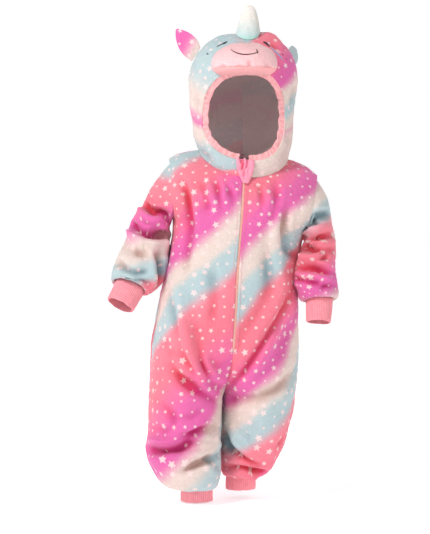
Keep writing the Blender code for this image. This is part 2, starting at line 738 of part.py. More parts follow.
def outside_hood(points):
    """Over 1 outside the hood's surface and under 1 inside it."""
    x, y, z = points[..., 0], points[..., 1] , points[..., 2]
    closing = np.sqrt(np.clip((HOOD_TOP - z) / 4, 1e-4, 1))
    half = smooth(HOOD, "half", z) * np.where(z > 229, closing, 1)
    front = smooth(HOOD, "front", z) * np.where(z > 229, closing, 1)
    back = smooth(HOOD, "back", z) * np.where(z > 229, closing, 1)
    depth = np.where(y < 0, front, back)
    value = np.abs(x / half) ** HOOD_SQUARE + np.abs(y / depth) ** HOOD_SQUARE
    return np.where(z >= HOOD_TOP, 9.0, value)


def on_hood(directions):
    """Points of the hood's surface along directions from its centre, with its soft swellings."""
    d = directions / np.linalg.norm(directions, axis=-1, keepdims=True)
    low, high = np.full(d.shape[:-1], 20.0), np.full(d.shape[:-1], 220.0)
    for _ in range(36):
        middle = (low + high) / 2
        outside = outside_hood(HOOD_CENTRE + d * middle[..., None]) > 1
        high = np.where(outside, middle, high)
        low = np.where(outside, low, middle)
    points = HOOD_CENTRE + d * low[..., None]
    for s in SWELLINGS:
        far = np.linalg.norm(points - np.array([s.x, s.y, s.z]), axis=-1)
        points = points + d * (s.height * np.exp(-((far / s.width) ** 2)))[..., None]
    return points


def hood_at(x, z):
    """The point of the hood's front with this x and z, found by turning towards it."""
    y = np.full(np.shape(x), -80.0)
    for _ in range(12):
        aim = np.stack([np.asarray(x, float), y, np.asarray(z, float)], axis=-1) - HOOD_CENTRE
        found = on_hood(aim)
        scale = aim[..., 0:1] * 0 + 1
        ratio = np.linalg.norm(found - HOOD_CENTRE, axis=-1, keepdims=True)
        ratio = ratio / np.linalg.norm(aim, axis=-1, keepdims=True) * scale
        y = HOOD_CENTRE[1] + aim[..., 1] * ratio[..., 0]
    return np.stack([np.asarray(x, float), y, np.asarray(z, float)], axis=-1)


def opening_point(angle, scale=1.0):
    """A point of the face opening's edge, at an angle from its top, with the opening's size scaled."""
    power = 2 / OPENING_SQUARE
    x = OPENING_HALF_WIDTH * scale * signed_power(np.sin(angle), power)
    z = OPENING_Z + OPENING_HALF_HEIGHT * scale * signed_power(np.cos(angle), power)
    return x, z


def neckline(side, angles):
    """The body's neckline, at angles from the centre front, in the upright garment."""
    ring = body_ring_at(0.0, side)
    front = ring_points(ring, FRONT, np.minimum(angles, math.pi / 2))
    back = ring_points(ring, BACK, np.clip(math.pi - angles, 0, math.pi / 2))
    return np.where((angles <= math.pi / 2)[:, None], front, back)


def resampled(points, count, power=1.0):
    """Points spread along a line by its length, closer at its start where power is over 1."""
    length = np.concatenate([[0], np.cumsum(np.linalg.norm(np.diff(points, axis=0), axis=1))])
    at = np.linspace(0, 1, count) ** power * length[-1]
    return np.stack([np.interp(at, length, points[:, k]) for k in range(3)], axis=-1)


def flattened(points):
    """Hood points laid out flat round the middle of the hood's side, by their angles from it."""
    d = points - HOOD_CENTRE
    d = d / np.linalg.norm(d, axis=-1, keepdims=True)
    from_side = np.arccos(np.clip(d[..., 0], -1, 1))
    turn = np.arctan2(d[..., 2], -d[..., 1])
    return np.stack([from_side * np.cos(turn), from_side * np.sin(turn)], axis=-1)


def raised(flat):
    """The hood points of a flat layout."""
    from_side = np.hypot(flat[..., 0], flat[..., 1])
    turn = np.arctan2(flat[..., 1], flat[..., 0])
    level = -np.sin(from_side) * np.cos(turn)
    return on_hood(np.stack([np.cos(from_side), level, np.sin(from_side) * np.sin(turn)], axis=-1))


def hood_half(side):
    """Half of the hood, from the face opening back to the crown and nape seam and down to the neckline."""
    rows, columns = HOOD_ROWS, HOOD_COLUMNS
    edge_x, edge_z = opening_point(np.linspace(0, math.pi, columns))
    opening = hood_at(edge_x, edge_z)
    tilt = np.radians(np.linspace(40, 230, 80))
    crown_line = on_hood(np.stack([0 * tilt, -np.cos(tilt), np.sin(tilt)], axis=-1))
    behind_opening = (tilt > math.pi / 2) | (crown_line[:, 2] > opening[0][2] + 4)
    crown_line = crown_line[behind_opening & ((tilt < math.pi / 2) | (crown_line[:, 2] > 24))]
    front_angles = np.linspace(math.asin(ZIP_EDGE / BODY[0].half), math.pi / 2, FRONT_COLUMNS)[::2]
    back_angles = np.linspace(math.pi / 2, math.pi, BACK_COLUMNS)[2::2]
    collar = neckline(LEFT, np.concatenate([front_angles, back_angles])) + (0, 0, NECK_GAP)
    nape = collar[-1]
    crown_line = np.concatenate([[opening[0]], crown_line, [nape]])
    split = int(len(crown_line) * 0.45)
    crown = resampled(crown_line[: split + 1], rows)
    back = resampled(crown_line[split:], columns)
    chin = hood_at(np.zeros(CHIN_ROWS), np.linspace(opening[-1][2], collar[0][2], CHIN_ROWS + 1)[:-1])
    base = np.concatenate([chin, collar])
    u = np.linspace(0, 1, rows)[:, None, None]
    v = np.linspace(0, 1, columns)[None, :, None]
    top, foot, front, rear = (flattened(line) for line in (crown, base, opening, back))
    patch = (1 - v) * top[:, None] + v * foot[:, None] + (1 - u) * front[None] + u * rear[None]
    corners = (1 - u) * (1 - v) * top[0] + u * v * foot[-1] + (1 - u) * v * foot[0] + u * (1 - v) * top[-1]
    layout = patch - corners
    for _ in range(RELAXING):
        around = layout[:-2, 1:-1] + layout[2:, 1:-1] + layout[1:-1, :-2] + layout[1:-1, 2:]
        layout[1:-1, 1:-1] = around / 4
    outer = raised(layout)
    outer[0] = opening
    shift = base[CHIN_ROWS:] - outer[CHIN_ROWS:, -1]
    for k, share in enumerate((1.0, 0.6, 0.25)):
        outer[CHIN_ROWS:, -1 - k] += shift * share
    normal = grid_normals(outer, closed=False)
    if np.mean(np.sum(normal * (outer - HOOD_CENTRE), axis=-1)) < 0:
        normal = -normal
    inner = outer - normal * FLEECE
    for grid in (outer, inner):
        grid[:, 0, 0] = SEAM_GAP / 2
        grid[-1, :, 0] = SEAM_GAP / 2
        grid[: CHIN_ROWS + 1, -1, 0] = ZIP_EDGE
    turned = (side, 1, 1)
    outer, inner = posed(outer * turned), posed(inner * turned)
    wall("hood_" + SIDE_NAME[side], outer, inner, "plush_light")
    return outer, inner


def hood_facing(halves):
    """The gathered knit band inside the face opening, open at the centre front."""
    front = np.concatenate([halves[RIGHT][0][0][::-1], halves[LEFT][0][0][1:]])
    back = np.concatenate([halves[RIGHT][1][0][::-1], halves[LEFT][1][0][1:]])
    length = np.concatenate([[0], np.cumsum(np.linalg.norm(np.diff(front, axis=0), axis=1))])
    at = np.linspace(FACING_MARGIN, length[-1] - FACING_MARGIN, FACING_COLUMNS)
    edge, rear = (
        np.stack([np.interp(at, length, rim[:, k]) for k in range(3)], axis=-1) for rim in (front, back)
    )
    outward = edge - rear
    outward /= np.linalg.norm(outward, axis=-1, keepdims=True)
    inward = np.cross(np.gradient(edge, axis=0), outward)
    inward /= np.linalg.norm(inward, axis=-1, keepdims=True)
    if np.mean(inward[:, 2] * (edge[:, 2] - OPENING_Z)) > 0:
        inward = -inward
    gather = np.sin(np.arange(FACING_COLUMNS) * math.tau * FACING_GATHERS / FACING_COLUMNS)[:, None]
    grids = []
    for thick in (0.0, FACING):
        rows = []
        for share in (0.0, 0.5, 1.0):
            sideways = FACING_CLEARANCE + FACING_WIDTH * share
            deep = 1.0 + FACING_DEPTH * share + thick + FACING_GATHER_HEIGHT * share * gather
            rows.append(edge + inward * sideways - outward * deep)
        grids.append(np.array(rows))
    wall("hood_facing", grids[0], grids[1], "facing_knit")


def facets(halves):
    """The hood's outer faces, to lay the sewn-on pieces against."""
    points, faces = [], []
    for outer, _ in halves.values():
        rows, columns = outer.shape[:2]
        first = len(points)
        points += [Vector(p) for p in outer.reshape(-1, 3)]
        for i in range(rows - 1):
            for j in range(columns - 1):
                a = first + i * columns + j
                faces.append((a, a + 1, a + columns + 1, a + columns))
    return BVHTree.FromPolygons(points, faces)


def on_facets(tree, starts, directions):
    """Where rays from outside first meet the hood's faces; a ray at the seam is moved beside it."""
    found = []
    for start, direction in zip(starts, directions):
        beside = Vector(start)
        if abs(beside.x) < 1.0:
            beside.x = math.copysign(1.0, beside.x)
        found.append(tree.ray_cast(beside, Vector(direction))[0])
    return np.array([tuple(p) for p in found])


def laid_on_hood(tree, points, gap, only_if_inside=False):
    """Points moved along the line to the hood's middle until they lie a gap above its faces."""
    flat = np.asarray(points, float).reshape(-1, 3)
    d = flat - HOOD_CENTRE
    far = np.linalg.norm(d, axis=1, keepdims=True)
    d = d / far
    on = on_facets(tree, HOOD_CENTRE + d * 400, -d)
    smooth_hood = np.linalg.norm(on_hood(d) - HOOD_CENTRE, axis=1, keepdims=True)
    least = np.einsum("ij,ij->i", on - HOOD_CENTRE, d)[:, None]
    least = np.where(least < smooth_hood - 12, smooth_hood, least) + gap
    reach = np.maximum(far, least) if only_if_inside else least
    return (HOOD_CENTRE + d * reach).reshape(np.shape(points))


def muzzle_point(tree, share, across):
    """The muzzle's back and front points at a share of its height and across its width, from -1 to 1."""
    z = MUZZLE_Z_TOP + (MUZZLE_Z_BOTTOM - MUZZLE_Z_TOP) * share
    above = np.clip((MUZZLE_WIDEST - share) / MUZZLE_WIDEST, 0, 1)
    below = np.clip((share - MUZZLE_WIDEST) / (1 - MUZZLE_WIDEST), 0, 1)
    half = MUZZLE_HALF_WIDTH * (1 - 0.94 * above**2.3) ** 0.45 * (1 - 0.6 * below**3) ** 0.45
    x = MUZZLE_X + half * across
    back = laid_on_hood(tree, hood_at(x, z), STUFFED_CLEARANCE)
    roundness = np.clip(1 - np.abs(across) ** 2.4, 0, 1) ** 0.55
    roundness = roundness * np.clip(1 - above**2.6, 0, 1) ** 0.5 * np.clip(1 - below**3.2, 0, 1) ** 0.5
    nose = MUZZLE_DEPTH * roundness * (0.74 + 0.30 * share)
    front = back + np.stack([0 * nose, -MUZZLE_RIM - nose, -3.0 * roundness], axis=-1)
    return back, front


def muzzle(tree):
    """The stuffed muzzle and the strip sewn along its lower edge."""
    across = np.sin(np.linspace(-math.pi / 2, math.pi / 2, MUZZLE_COLUMNS))
    gap = SEAM_GAP / (MUZZLE_Z_TOP - MUZZLE_Z_BOTTOM)
    upper = (1 - np.cos(np.linspace(0.0, 1, MUZZLE_ROWS) * math.pi * 0.68)) / 2
    upper = 0.015 + upper / upper[-1] * (MUZZLE_LIP_FROM - 0.015)
    start = MUZZLE_LIP_FROM + 1.5 * gap
    lower = start + np.linspace(0, 1, MUZZLE_LIP_ROWS) ** 0.8 * (0.985 - start)
    for name, shares in (("muzzle", upper), ("muzzle_lip", lower)):
        pairs = [muzzle_point(tree, np.full(across.shape, s), across) for s in shares]
        back = np.array([pair[0] for pair in pairs])
        front = np.array([pair[1] for pair in pairs])
        wall(name, front, back, "muzzle_plush")


def horn(tree):
    """The stuffed horn, with its foot laid on the crown of the hood."""
    angles = np.arange(HORN_COLUMNS) * 2 * math.pi / HORN_COLUMNS
    circle = np.stack([np.cos(angles), np.sin(angles)], axis=-1)
    rings = []
    for radius in (5.0, 11.0, 17.0, HORN_RADIUS):
        x, y = HORN_X + circle[:, 0] * radius, HORN_Y + circle[:, 1] * radius
        above = np.stack([x, y, np.full(x.shape, 400.0)], axis=-1)
        crown = on_facets(tree, above, np.tile([0.0, 0.0, -1.0], (len(x), 1)))
        rings.append(np.stack([x, y, crown[:, 2] + STUFFED_CLEARANCE], axis=-1))
    foot = rings[-1]
    peak = foot[:, 2].max() + HORN_HEIGHT - 3
    for share in (0.08, 0.3, 0.55, 0.78, 0.9, 0.97):
        radius = HORN_RADIUS * (1 - share) ** 0.85 + HORN_TIP * math.sin(math.pi * min(share, 0.97) / 2)
        radius *= math.sqrt(max(1 - max(share - 0.78, 0) ** 2 / 0.05, 0.05))
        x = HORN_X + HORN_LEAN[0] * share + circle[:, 0] * radius
        y = HORN_Y + HORN_LEAN[1] * share + circle[:, 1] * radius
        rings.append(np.stack([x, y, foot[:, 2] * (1 - share) + peak * share + 1.0], axis=-1))
    points = np.concatenate(rings)
    n = HORN_COLUMNS
    faces = [
        (i * n + j, i * n + (j + 1) % n, (i + 1) * n + (j + 1) % n, (i + 1) * n + j)
        for i in range(len(rings) - 1)
        for j in range(n)
    ]
    faces.append(tuple(range(n))[::-1])
    faces.append(tuple(range((len(rings) - 1) * n, len(rings) * n)))
    solid("horn", points, faces, "horn_cloth")


def ear(tree, side):
    """A stuffed leaf-shaped ear that stands on the hood's side."""
    size = EARS[side]
    points_to = unit(size.points)
    faces_to = unit(np.array(size.faces) - points_to * (np.array(size.faces) @ points_to))
    across = np.cross(faces_to, points_to)
    start = on_hood(np.array(size.base, float) - HOOD_CENTRE)
    rings = []
    angles = np.arange(EAR_COLUMNS) * 2 * math.pi / EAR_COLUMNS
    for share in np.linspace(0, 1, EAR_ROWS):
        widest = 0.30
        rise = share / widest if share < widest else 1.0
        fall = max(share - widest, 0) / (1 - widest)
        half = size.half * (0.80 + 0.20 * math.sin(rise * math.pi / 2)) * (1 - fall**2.0 * 0.86)
        thick = size.thick * (1 - 0.72 * share**2)
        curl = 5.0 * share**2
        middle = start + points_to * size.length * share - faces_to * curl
        cupped = 3.2 * (1 - share) * np.cos(angles) ** 2
        sideways = np.outer(np.cos(angles) * half, across)
        ring = middle + sideways + np.outer(np.sin(angles) * thick + cupped, faces_to)
        rings.append(ring)
    rings[0] = laid_on_hood(tree, rings[0], STUFFED_CLEARANCE)
    points = laid_on_hood(tree, np.concatenate(rings), STUFFED_CLEARANCE, only_if_inside=True)
    n = EAR_COLUMNS
    faces = [
        (i * n + j, i * n + (j + 1) % n, (i + 1) * n + (j + 1) % n, (i + 1) * n + j)
        for i in range(EAR_ROWS - 1)
        for j in range(n)
    ]
    ends = []
    for row in (0, EAR_ROWS - 1):
        ends.append(len(points))
        middle = points[row * n : (row + 1) * n].mean(axis=0)[None]
        middle = laid_on_hood(tree, middle, STUFFED_CLEARANCE, only_if_inside=row > 0)
        points = np.concatenate([points, middle])
    for j in range(n):
        k = (j + 1) % n
        faces.append((k, j, ends[0]))
        faces.append(((EAR_ROWS - 1) * n + j, (EAR_ROWS - 1) * n + k, ends[1]))
    solid("ear_" + SIDE_NAME[side], points, faces, "plush")


def zip_line():
    """The centre front's line from the chin to the zip's lower end, and the strip's half width along it."""
    chin = hood_at(np.zeros(5), np.linspace(OPENING_Z - OPENING_HALF_HEIGHT - 1.5, -22, 5))
    line, halves = [p for p in chin], [ZIP_HALF] * len(chin)
    for t in [t for t in panel_places(LEFT) if 0.5 <= t <= ZIP_STOP] + [ZIP_END]:
        ring = body_ring_at(t, LEFT)
        edge = inner_edge_x(t, FRONT)
        reach = (edge - ring["centre"]) / ring["half"]
        angle = math.asin(signed_power(np.clip(reach, -1, 1), ring["square"] / 2))
        point = ring_points(ring, FRONT, np.array([angle]))
        line.append(folded(point, np.array([ring["centre"]]))[0] * (0, 1, 1))
        halves.append(edge - (ZIP_EDGE - ZIP_HALF))
    return np.array(line), halves


def zip_strip():
    """The closed zip: both tapes and the coil as one strip, sunk between the fronts."""
    outer, inner = [], []
    for point, half in zip(*zip_line()):
        left, right = point + (-half, 0, 0), point + (half, 0, 0)
        outer.append([left + (0, ZIP_SUNK, 0), right + (0, ZIP_SUNK, 0)])
        inner.append([left + (0, ZIP_SUNK + ZIP_THICK, 0), right + (0, ZIP_SUNK + ZIP_THICK, 0)])
    wall("zip", posed(np.array(outer)), posed(np.array(inner)), "zip")


def chin_tab():
    """The folded cloth tab that hangs over the zip's top."""
    across = np.linspace(-1, 1, TAB_COLUMNS)
    outer, inner = [], []
    for row in TAB:
        x = row.x + row.half * across
        back = hood_at(x, np.full(x.shape, max(row.z, -24.0)))
        back[:, 2] = row.z
        body_front = -(BODY[0].front + max(BODY[0].front_z - row.z, 0) * 0.8)
        back[:, 1] = np.minimum(back[:, 1], body_front if row.z < -12 else 0) - TAB_CLEARANCE
        pleats = TAB_PLEAT_HEIGHT * np.cos(math.pi * TAB_PLEATS * across) * (row.z + 36) / 42
        swell = row.thick * (1 - np.abs(across) ** 3 * 0.6) + pleats
        outer.append(back - np.stack([0 * swell, swell, 0 * swell], axis=-1))
        inner.append(back)
    wall("chin_tab", posed(np.array(outer)), posed(np.array(inner)), "plush")


def main():
    for old in list(bpy.data.objects):
        bpy.data.objects.remove(old)
    halves = {}
    for side in (LEFT, RIGHT):
        front_panel, back_panel = panel(FRONT, side), panel(BACK, side)
        outer_loop, inner_loop = (armhole_loop(side, f, b) for f, b in zip(front_panel, back_panel))
        seam, axis, seam_half = sleeve(side, outer_loop, inner_loop)
        wrist_cuff(side, seam, axis, seam_half)
        ankle_cuff(side)
        halves[side] = hood_half(side)
    tree = facets(halves)
    for side in (LEFT, RIGHT):
        ear(tree, side)
    hood_facing(halves)
    muzzle(tree)
    horn(tree)
    zip_strip()
    chin_tab()


main()
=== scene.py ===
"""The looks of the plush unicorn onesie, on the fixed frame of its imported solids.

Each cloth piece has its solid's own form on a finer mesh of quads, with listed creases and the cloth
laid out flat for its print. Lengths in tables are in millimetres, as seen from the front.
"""

import heapq
import math
import random
from collections import namedtuple

import bmesh
import bpy
import numpy as np
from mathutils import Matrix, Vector
from mathutils.bvhtree import BVHTree
from mathutils.kdtree import KDTree


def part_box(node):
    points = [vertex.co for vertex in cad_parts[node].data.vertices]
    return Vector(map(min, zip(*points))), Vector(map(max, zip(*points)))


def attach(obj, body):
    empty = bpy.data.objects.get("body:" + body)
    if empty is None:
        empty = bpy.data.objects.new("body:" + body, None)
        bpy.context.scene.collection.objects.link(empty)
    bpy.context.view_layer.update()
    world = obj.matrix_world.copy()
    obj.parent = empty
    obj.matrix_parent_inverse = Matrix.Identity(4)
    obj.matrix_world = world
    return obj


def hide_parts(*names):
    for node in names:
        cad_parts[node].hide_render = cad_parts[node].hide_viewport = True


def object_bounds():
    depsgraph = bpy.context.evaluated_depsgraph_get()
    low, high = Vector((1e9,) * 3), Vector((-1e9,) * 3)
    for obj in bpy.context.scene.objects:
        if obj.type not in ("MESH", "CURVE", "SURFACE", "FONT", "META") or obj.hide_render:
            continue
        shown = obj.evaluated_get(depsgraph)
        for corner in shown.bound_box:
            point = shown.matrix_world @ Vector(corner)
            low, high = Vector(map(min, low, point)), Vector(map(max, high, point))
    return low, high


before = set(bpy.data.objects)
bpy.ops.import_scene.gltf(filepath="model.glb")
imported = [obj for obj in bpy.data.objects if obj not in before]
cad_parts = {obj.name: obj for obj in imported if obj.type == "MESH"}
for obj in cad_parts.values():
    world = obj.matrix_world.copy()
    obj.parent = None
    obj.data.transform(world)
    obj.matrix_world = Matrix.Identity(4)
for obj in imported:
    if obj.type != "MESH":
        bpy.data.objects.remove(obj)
CAD_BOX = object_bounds()

MM = 0.001
SIDES = {"left": 1, "right": -1}

# The camera: what it looks at, how high its view is there, how far off it stands, how many degrees it looks
# down, and its sensor
VIEW_CENTRE = Vector((-0.0498, 0.0, -0.1815))
VIEW_HEIGHT = 0.9506
CAMERA_DISTANCE = 2.6
CAMERA_ELEVATION = 1.0
SENSOR = 36.0

# Turns sharper than this end a sheet of a wall. How firmly they keep their line on a stuffed form, and how
# firmly a sheet's edges and a rim's corners keep theirs
SHARP_TURN = math.radians(55)
TURN_FIRMNESS, RIM_FIRMNESS = 0.35, 1.0

# Levels of subdivision: of most pieces, of the backs and of the cuffs
FINE = 3
BACK_FINE = CUFF_FINE = 2
# A wall's two sheets lie this far apart at most, and their normals are this nearly opposite
WALL_LIMIT = 4.2
WALL_FACING = -0.78
# How far rims move out so that sewn edges meet
RIM_GROWTH = 0.34
BODY_GROWTH, HOOD_GROWTH, SLEEVE_GROWTH = 0.75, 1.2, 1.9

# The print: the colours down one repeat, and those of the stars and of the cloth's reverse
Band = namedtuple("Band", "at colour")
BANDS = [
    Band(0.00, (0.86, 0.17, 0.35)),
    Band(0.06, (0.79, 0.15, 0.40)),
    Band(0.17, (0.75, 0.135, 0.395)),
    Band(0.31, (0.77, 0.63, 0.57)),
    Band(0.38, (0.76, 0.63, 0.57)),
    Band(0.47, (0.47, 0.585, 0.60)),
    Band(0.56, (0.45, 0.575, 0.60)),
    Band(0.68, (0.88, 0.235, 0.30)),
    Band(0.86, (0.87, 0.20, 0.27)),
]
STAR_COLOUR = (0.88, 0.70, 0.68)
REVERSE_COLOUR = (0.80, 0.63, 0.63)
# The motifs: the size of a cell, the share of stars, the share above which a cell is blank, how sharp their
# edges are, the least size of a star and of a dot and how much more they may have, the depth of a star's
# notches, and how far into its cell a motif lies at least and how much further it may
MOTIF_SPACING = 19.0
STAR_SHARE, BLANK_SHARE = 0.29, 0.95
MOTIF_EDGE = 0.62
STAR_SIZE, STAR_SPREAD = 4.3, 2.9
DOT_SIZE, DOT_SPREAD = 1.5, 1.2
STAR_NOTCH = 0.5
CELL_EDGE, CELL_SPREAD = 0.28, 0.44

# How the print lies on each piece: the bands' slope in degrees, where across the piece the knots are
# read, and the knots: how far below the origin, and how many repeats of the print lie above that place
Print = namedtuple("Print", "slope across knots")
PRINTS = {
    "front_right": Print(
        43,
        0,
        [(-3, 0), (95, 0.335), (150, 0.53), (221, 0.775), (310, 0.98), (350, 1.08), (405, 1.19)]
        + [(450, 1.37), (486, 1.5), (560, 1.6)],
    ),
    "front_left": Print(43, 0, [(-167, -1), (95, 0), (357, 1), (619, 2)]),
    "back_right": Print(43, 0, [(-260, -1), (20, 0), (300, 1), (590, 2)]),
    "back_left": Print(43, 0, [(-220, -1), (60, 0), (340, 1), (630, 2)]),
    "sleeve_right": Print(
        10, -174, [(5, -0.47), (53, -0.2), (93, 0.10), (139, 0.335), (178, 0.52), (214, 0.72)]
    ),
    "sleeve_left": Print(20, 137, [(44.5, 0.335), (85, 0.53), (133.5, 0.775), (196, 1.12), (240, 1.3)]),
    "hood_right": Print(
        -20,
        25,
        [(-214, 0.52), (-160, 0.44), (-122, 0.36), (-98, 0.24), (-82, 0.2), (-62, 0.335)]
        + [(-27, 0.46), (8, 0.54), (26, 0.75)],
    ),
    "hood_left": Print(
        20,
        -25,
        [(-231, 0.8), (-185, 1.08), (-142, 1.335), (-107, 1.5), (-88, 1.4), (-68, 1.25)]
        + [(-46, 1.32), (-27, 1.36), (10, 1.38)],
    ),
}

# The sleeves' bands sink towards the front, by this for each millimetre forward
SLEEVE_BAND_SINK = 0.2

# How much deeper and wider the folds are made than the tables say, then the soft lips beside a fold: how high
# they are, as a share of its depth, and how far out they lie, in half widths
FOLD_GAIN, FOLD_SPREAD = 2.5, 1.22
LIP_SHARE, LIP_AT = 0.34, 1.9
# How close to a seam folds die away, how deep a fold is when its painted shade is full, on cloth and on
# stuffed forms, and what share of that full painted shade the hollows of ribs and gathers get
SEAM_CALM = 9.0
FULL_SHADE_DEPTH, STUFFED_FULL_SHADE_DEPTH = 8.0, 4.0
KNIT_SHADE_SHARE = 0.6

# Creases seen from the front or from behind: the trough's depth, which is negative for a ridge, its half
# width, and the points (x, z) that it runs through
Crease = namedtuple("Crease", "depth width line")
FRONT_CREASES = [
    Crease(3.4, 6, [(-108, -30), (-97, -66), (-95, -134), (-99, -180)]),
    Crease(-1.6, 8, [(-124, -120), (-119, -200), (-108, -262), (-92, -322), (-68, -366), (-38, -398)]),
    Crease(2.6, 7, [(-128, -230), (-118, -290), (-100, -340), (-78, -376), (-48, -404)]),
    Crease(2.4, 5, [(-50, -26), (-44, -50), (-39, -80)]),
    Crease(1.8, 4, [(-30, -30), (-22, -50), (-16, -68)]),
    Crease(1.6, 5, [(-72, -32), (-66, -56), (-62, -84)]),
    Crease(1.6, 5, [(30, -36), (34, -58), (35, -80)]),
    Crease(1.8, 6, [(58, -30), (60, -60), (54, -96)]),
    Crease(3.2, 6, [(78, -76), (72, -120), (74, -150), (92, -160)]),
    Crease(-1.6, 8, [(60, -110), (62, -170), (72, -215)]),
    Crease(-3.0, 9, [(-117, -270), (-107, -313), (-82, -354), (-43, -399)]),
    Crease(6.5, 6, [(-86, -326), (-75, -352), (-61, -376), (-46, -394), (-38, -402)]),
    Crease(4.6, 7, [(-130, -356), (-104, -386), (-74, -408), (-44, -420)]),
    Crease(4.2, 6.5, [(90, -210), (66, -262), (40, -306), (6, -360), (-30, -398)]),
    Crease(-2.6, 10, [(72, -215), (46, -275), (18, -330), (-22, -385)]),
    Crease(3.0, 8, [(-36, -402), (-5, -420), (57, -402), (93, -365)]),
    Crease(6.0, 6.5, [(-176, -505), (-146, -509), (-110, -503), (-88, -490)]),
    Crease(-3.0, 8, [(-174, -490), (-140, -493), (-108, -485)]),
    Crease(3.6, 5.5, [(-128, -488), (-92, -478), (-56, -462)]),
    Crease(-2.2, 7, [(-120, -474), (-88, -464), (-58, -450)]),
    Crease(4.6, 5.5, [(-40, -510), (-56, -522), (-82, -533), (-108, -548)]),
    Crease(-2.4, 7, [(-42, -494), (-62, -506), (-88, -518)]),
    Crease(2.4, 5, [(-44, -540), (-56, -530), (-66, -514)]),
    Crease(2.2, 6, [(-66, -480), (-50, -466), (-44, -446)]),
    Crease(5.2, 6, [(-38, -470), (-24, -502), (4, -526), (34, -542)]),
    Crease(-2.2, 7, [(-22, -478), (-4, -502), (22, -520)]),
    Crease(5.6, 4.5, [(-32, -538), (-6, -539), (24, -549), (50, -551), (70, -540)]),
    Crease(2.4, 7, [(60, -505), (78, -488), (92, -462)]),
    Crease(1.8, 8, [(-150, -420), (-132, -440), (-120, -462)]),
    Crease(1.6, 9, [(-60, -180), (-52, -230), (-56, -280)]),
    Crease(1.6, 9, [(40, -150), (44, -200), (38, -250)]),
]
BACK_CREASES = [
    Crease(3.0, 7, [(-100, -50), (-92, -100), (-96, -160)]),
    Crease(3.0, 7, [(92, -60), (84, -110), (88, -170)]),
    Crease(2.0, 7, [(-40, -30), (-36, -70), (-44, -110)]),
    Crease(2.0, 7, [(34, -34), (36, -76), (30, -120)]),
    Crease(4.0, 8, [(-120, -300), (-96, -350), (-60, -392), (-40, -404)]),
    Crease(4.0, 8, [(60, -290), (36, -346), (2, -390), (-30, -404)]),
    Crease(-2.6, 10, [(-100, -290), (-80, -336), (-52, -376)]),
    Crease(-2.6, 10, [(40, -280), (18, -334), (-10, -378)]),
    Crease(2.4, 9, [(-110, -240), (-60, -262), (-10, -256)]),
    Crease(2.4, 9, [(80, -238), (40, -262), (-4, -268)]),
    Crease(4.2, 7, [(-166, -500), (-120, -512), (-70, -500)]),
    Crease(4.2, 7, [(-16, -490), (30, -504), (74, -488)]),
    Crease(3.2, 6, [(-150, -536), (-104, -545), (-62, -532)]),
    Crease(3.2, 6, [(-10, -522), (24, -534), (56, -524)]),
    Crease(2.4, 8, [(-140, -430), (-100, -446), (-64, -440)]),
    Crease(2.4, 8, [(0, -436), (36, -446), (72, -430)]),
]
SLEEVE_FRONT = [
    Crease(6.5, 5.1, [(-184, -52), (-172, -74), (-160, -84), (-142, -87), (-126, -104)]),
    Crease(-3.2, 7.4, [(-190, -78), (-170, -94), (-150, -98), (-134, -108)]),
    Crease(6.5, 5.1, [(-206, -96), (-190, -114), (-176, -122), (-148, -125), (-126, -118)]),
    Crease(-3.2, 8.3, [(-208, -112), (-180, -138), (-148, -142)]),
    Crease(5.2, 5.5, [(-152, -140), (-154, -162), (-149, -190), (-152, -226)]),
    Crease(3.9, 5.5, [(-226, -170), (-206, -186), (-186, -192), (-168, -190)]),
    Crease(3.4, 5.5, [(-196, -204), (-180, -208), (-162, -218)]),
    Crease(2.6, 6.4, [(-196, -150), (-180, -158), (-168, -156)]),
    Crease(5.2, 5.1, [(100, -106), (118, -98), (136, -90), (158, -84)]),
    Crease(3.9, 4.6, [(116, -112), (124, -104), (134, -108)]),
    Crease(-2.9, 6.4, [(106, -118), (124, -116), (150, -108)]),
    Crease(5.2, 5.1, [(106, -134), (120, -133), (140, -128), (160, -122)]),
    Crease(5.5, 5.1, [(98, -134), (112, -146), (128, -151), (160, -149)]),
    Crease(-2.9, 6.4, [(104, -158), (126, -164), (150, -158)]),
    Crease(4.2, 4.6, [(126, -170), (140, -165), (160, -155)]),
    Crease(5.5, 5.1, [(88, -186), (108, -184), (128, -184), (160, -194)]),
    Crease(4.2, 5.1, [(86, -198), (102, -202), (124, -208), (140, -206)]),
    Crease(2.9, 5.5, [(132, -222), (146, -216), (160, -214)]),
]
SLEEVE_BACK = [
    Crease(5.2, 5.5, [(-180, -60), (-166, -80), (-146, -92), (-128, -104)]),
    Crease(5.2, 5.5, [(-204, -104), (-186, -122), (-160, -130), (-134, -128)]),
    Crease(4.4, 5.5, [(-216, -140), (-192, -158), (-166, -166), (-144, -164)]),
    Crease(3.9, 5.5, [(-228, -180), (-204, -196), (-176, -202)]),
    Crease(-2.9, 7.4, [(-190, -90), (-166, -106), (-140, -114)]),
    Crease(5.2, 5.5, [(104, -112), (124, -104), (154, -98)]),
    Crease(5.2, 5.5, [(104, -146), (126, -142), (158, -134)]),
    Crease(4.7, 5.5, [(94, -176), (122, -172), (158, -170)]),
    Crease(3.9, 5.5, [(92, -208), (120, -206), (158, -204)]),
    Crease(-2.9, 7.4, [(104, -130), (126, -124), (154, -118)]),
]
HOOD_CREASES = [
    Crease(1.6, 4, [(50, 216), (62, 208), (76, 202)]),
    Crease(1.2, 4, [(58, 232), (70, 222), (80, 208)]),
    Crease(1.0, 5, [(-92, 150), (-84, 120), (-82, 90)]),
    Crease(-1.0, 6, [(-98, 100), (-92, 76), (-84, 52)]),
    Crease(1.2, 5, [(94, 150), (90, 120), (88, 92)]),
    Crease(1.6, 6, [(-70, -4), (-50, -14), (-30, -18)]),
    Crease(1.4, 6, [(-80, 30), (-66, 12), (-52, 2)]),
    Crease(1.4, 7, [(82, 60), (84, 30), (72, 8)]),
]
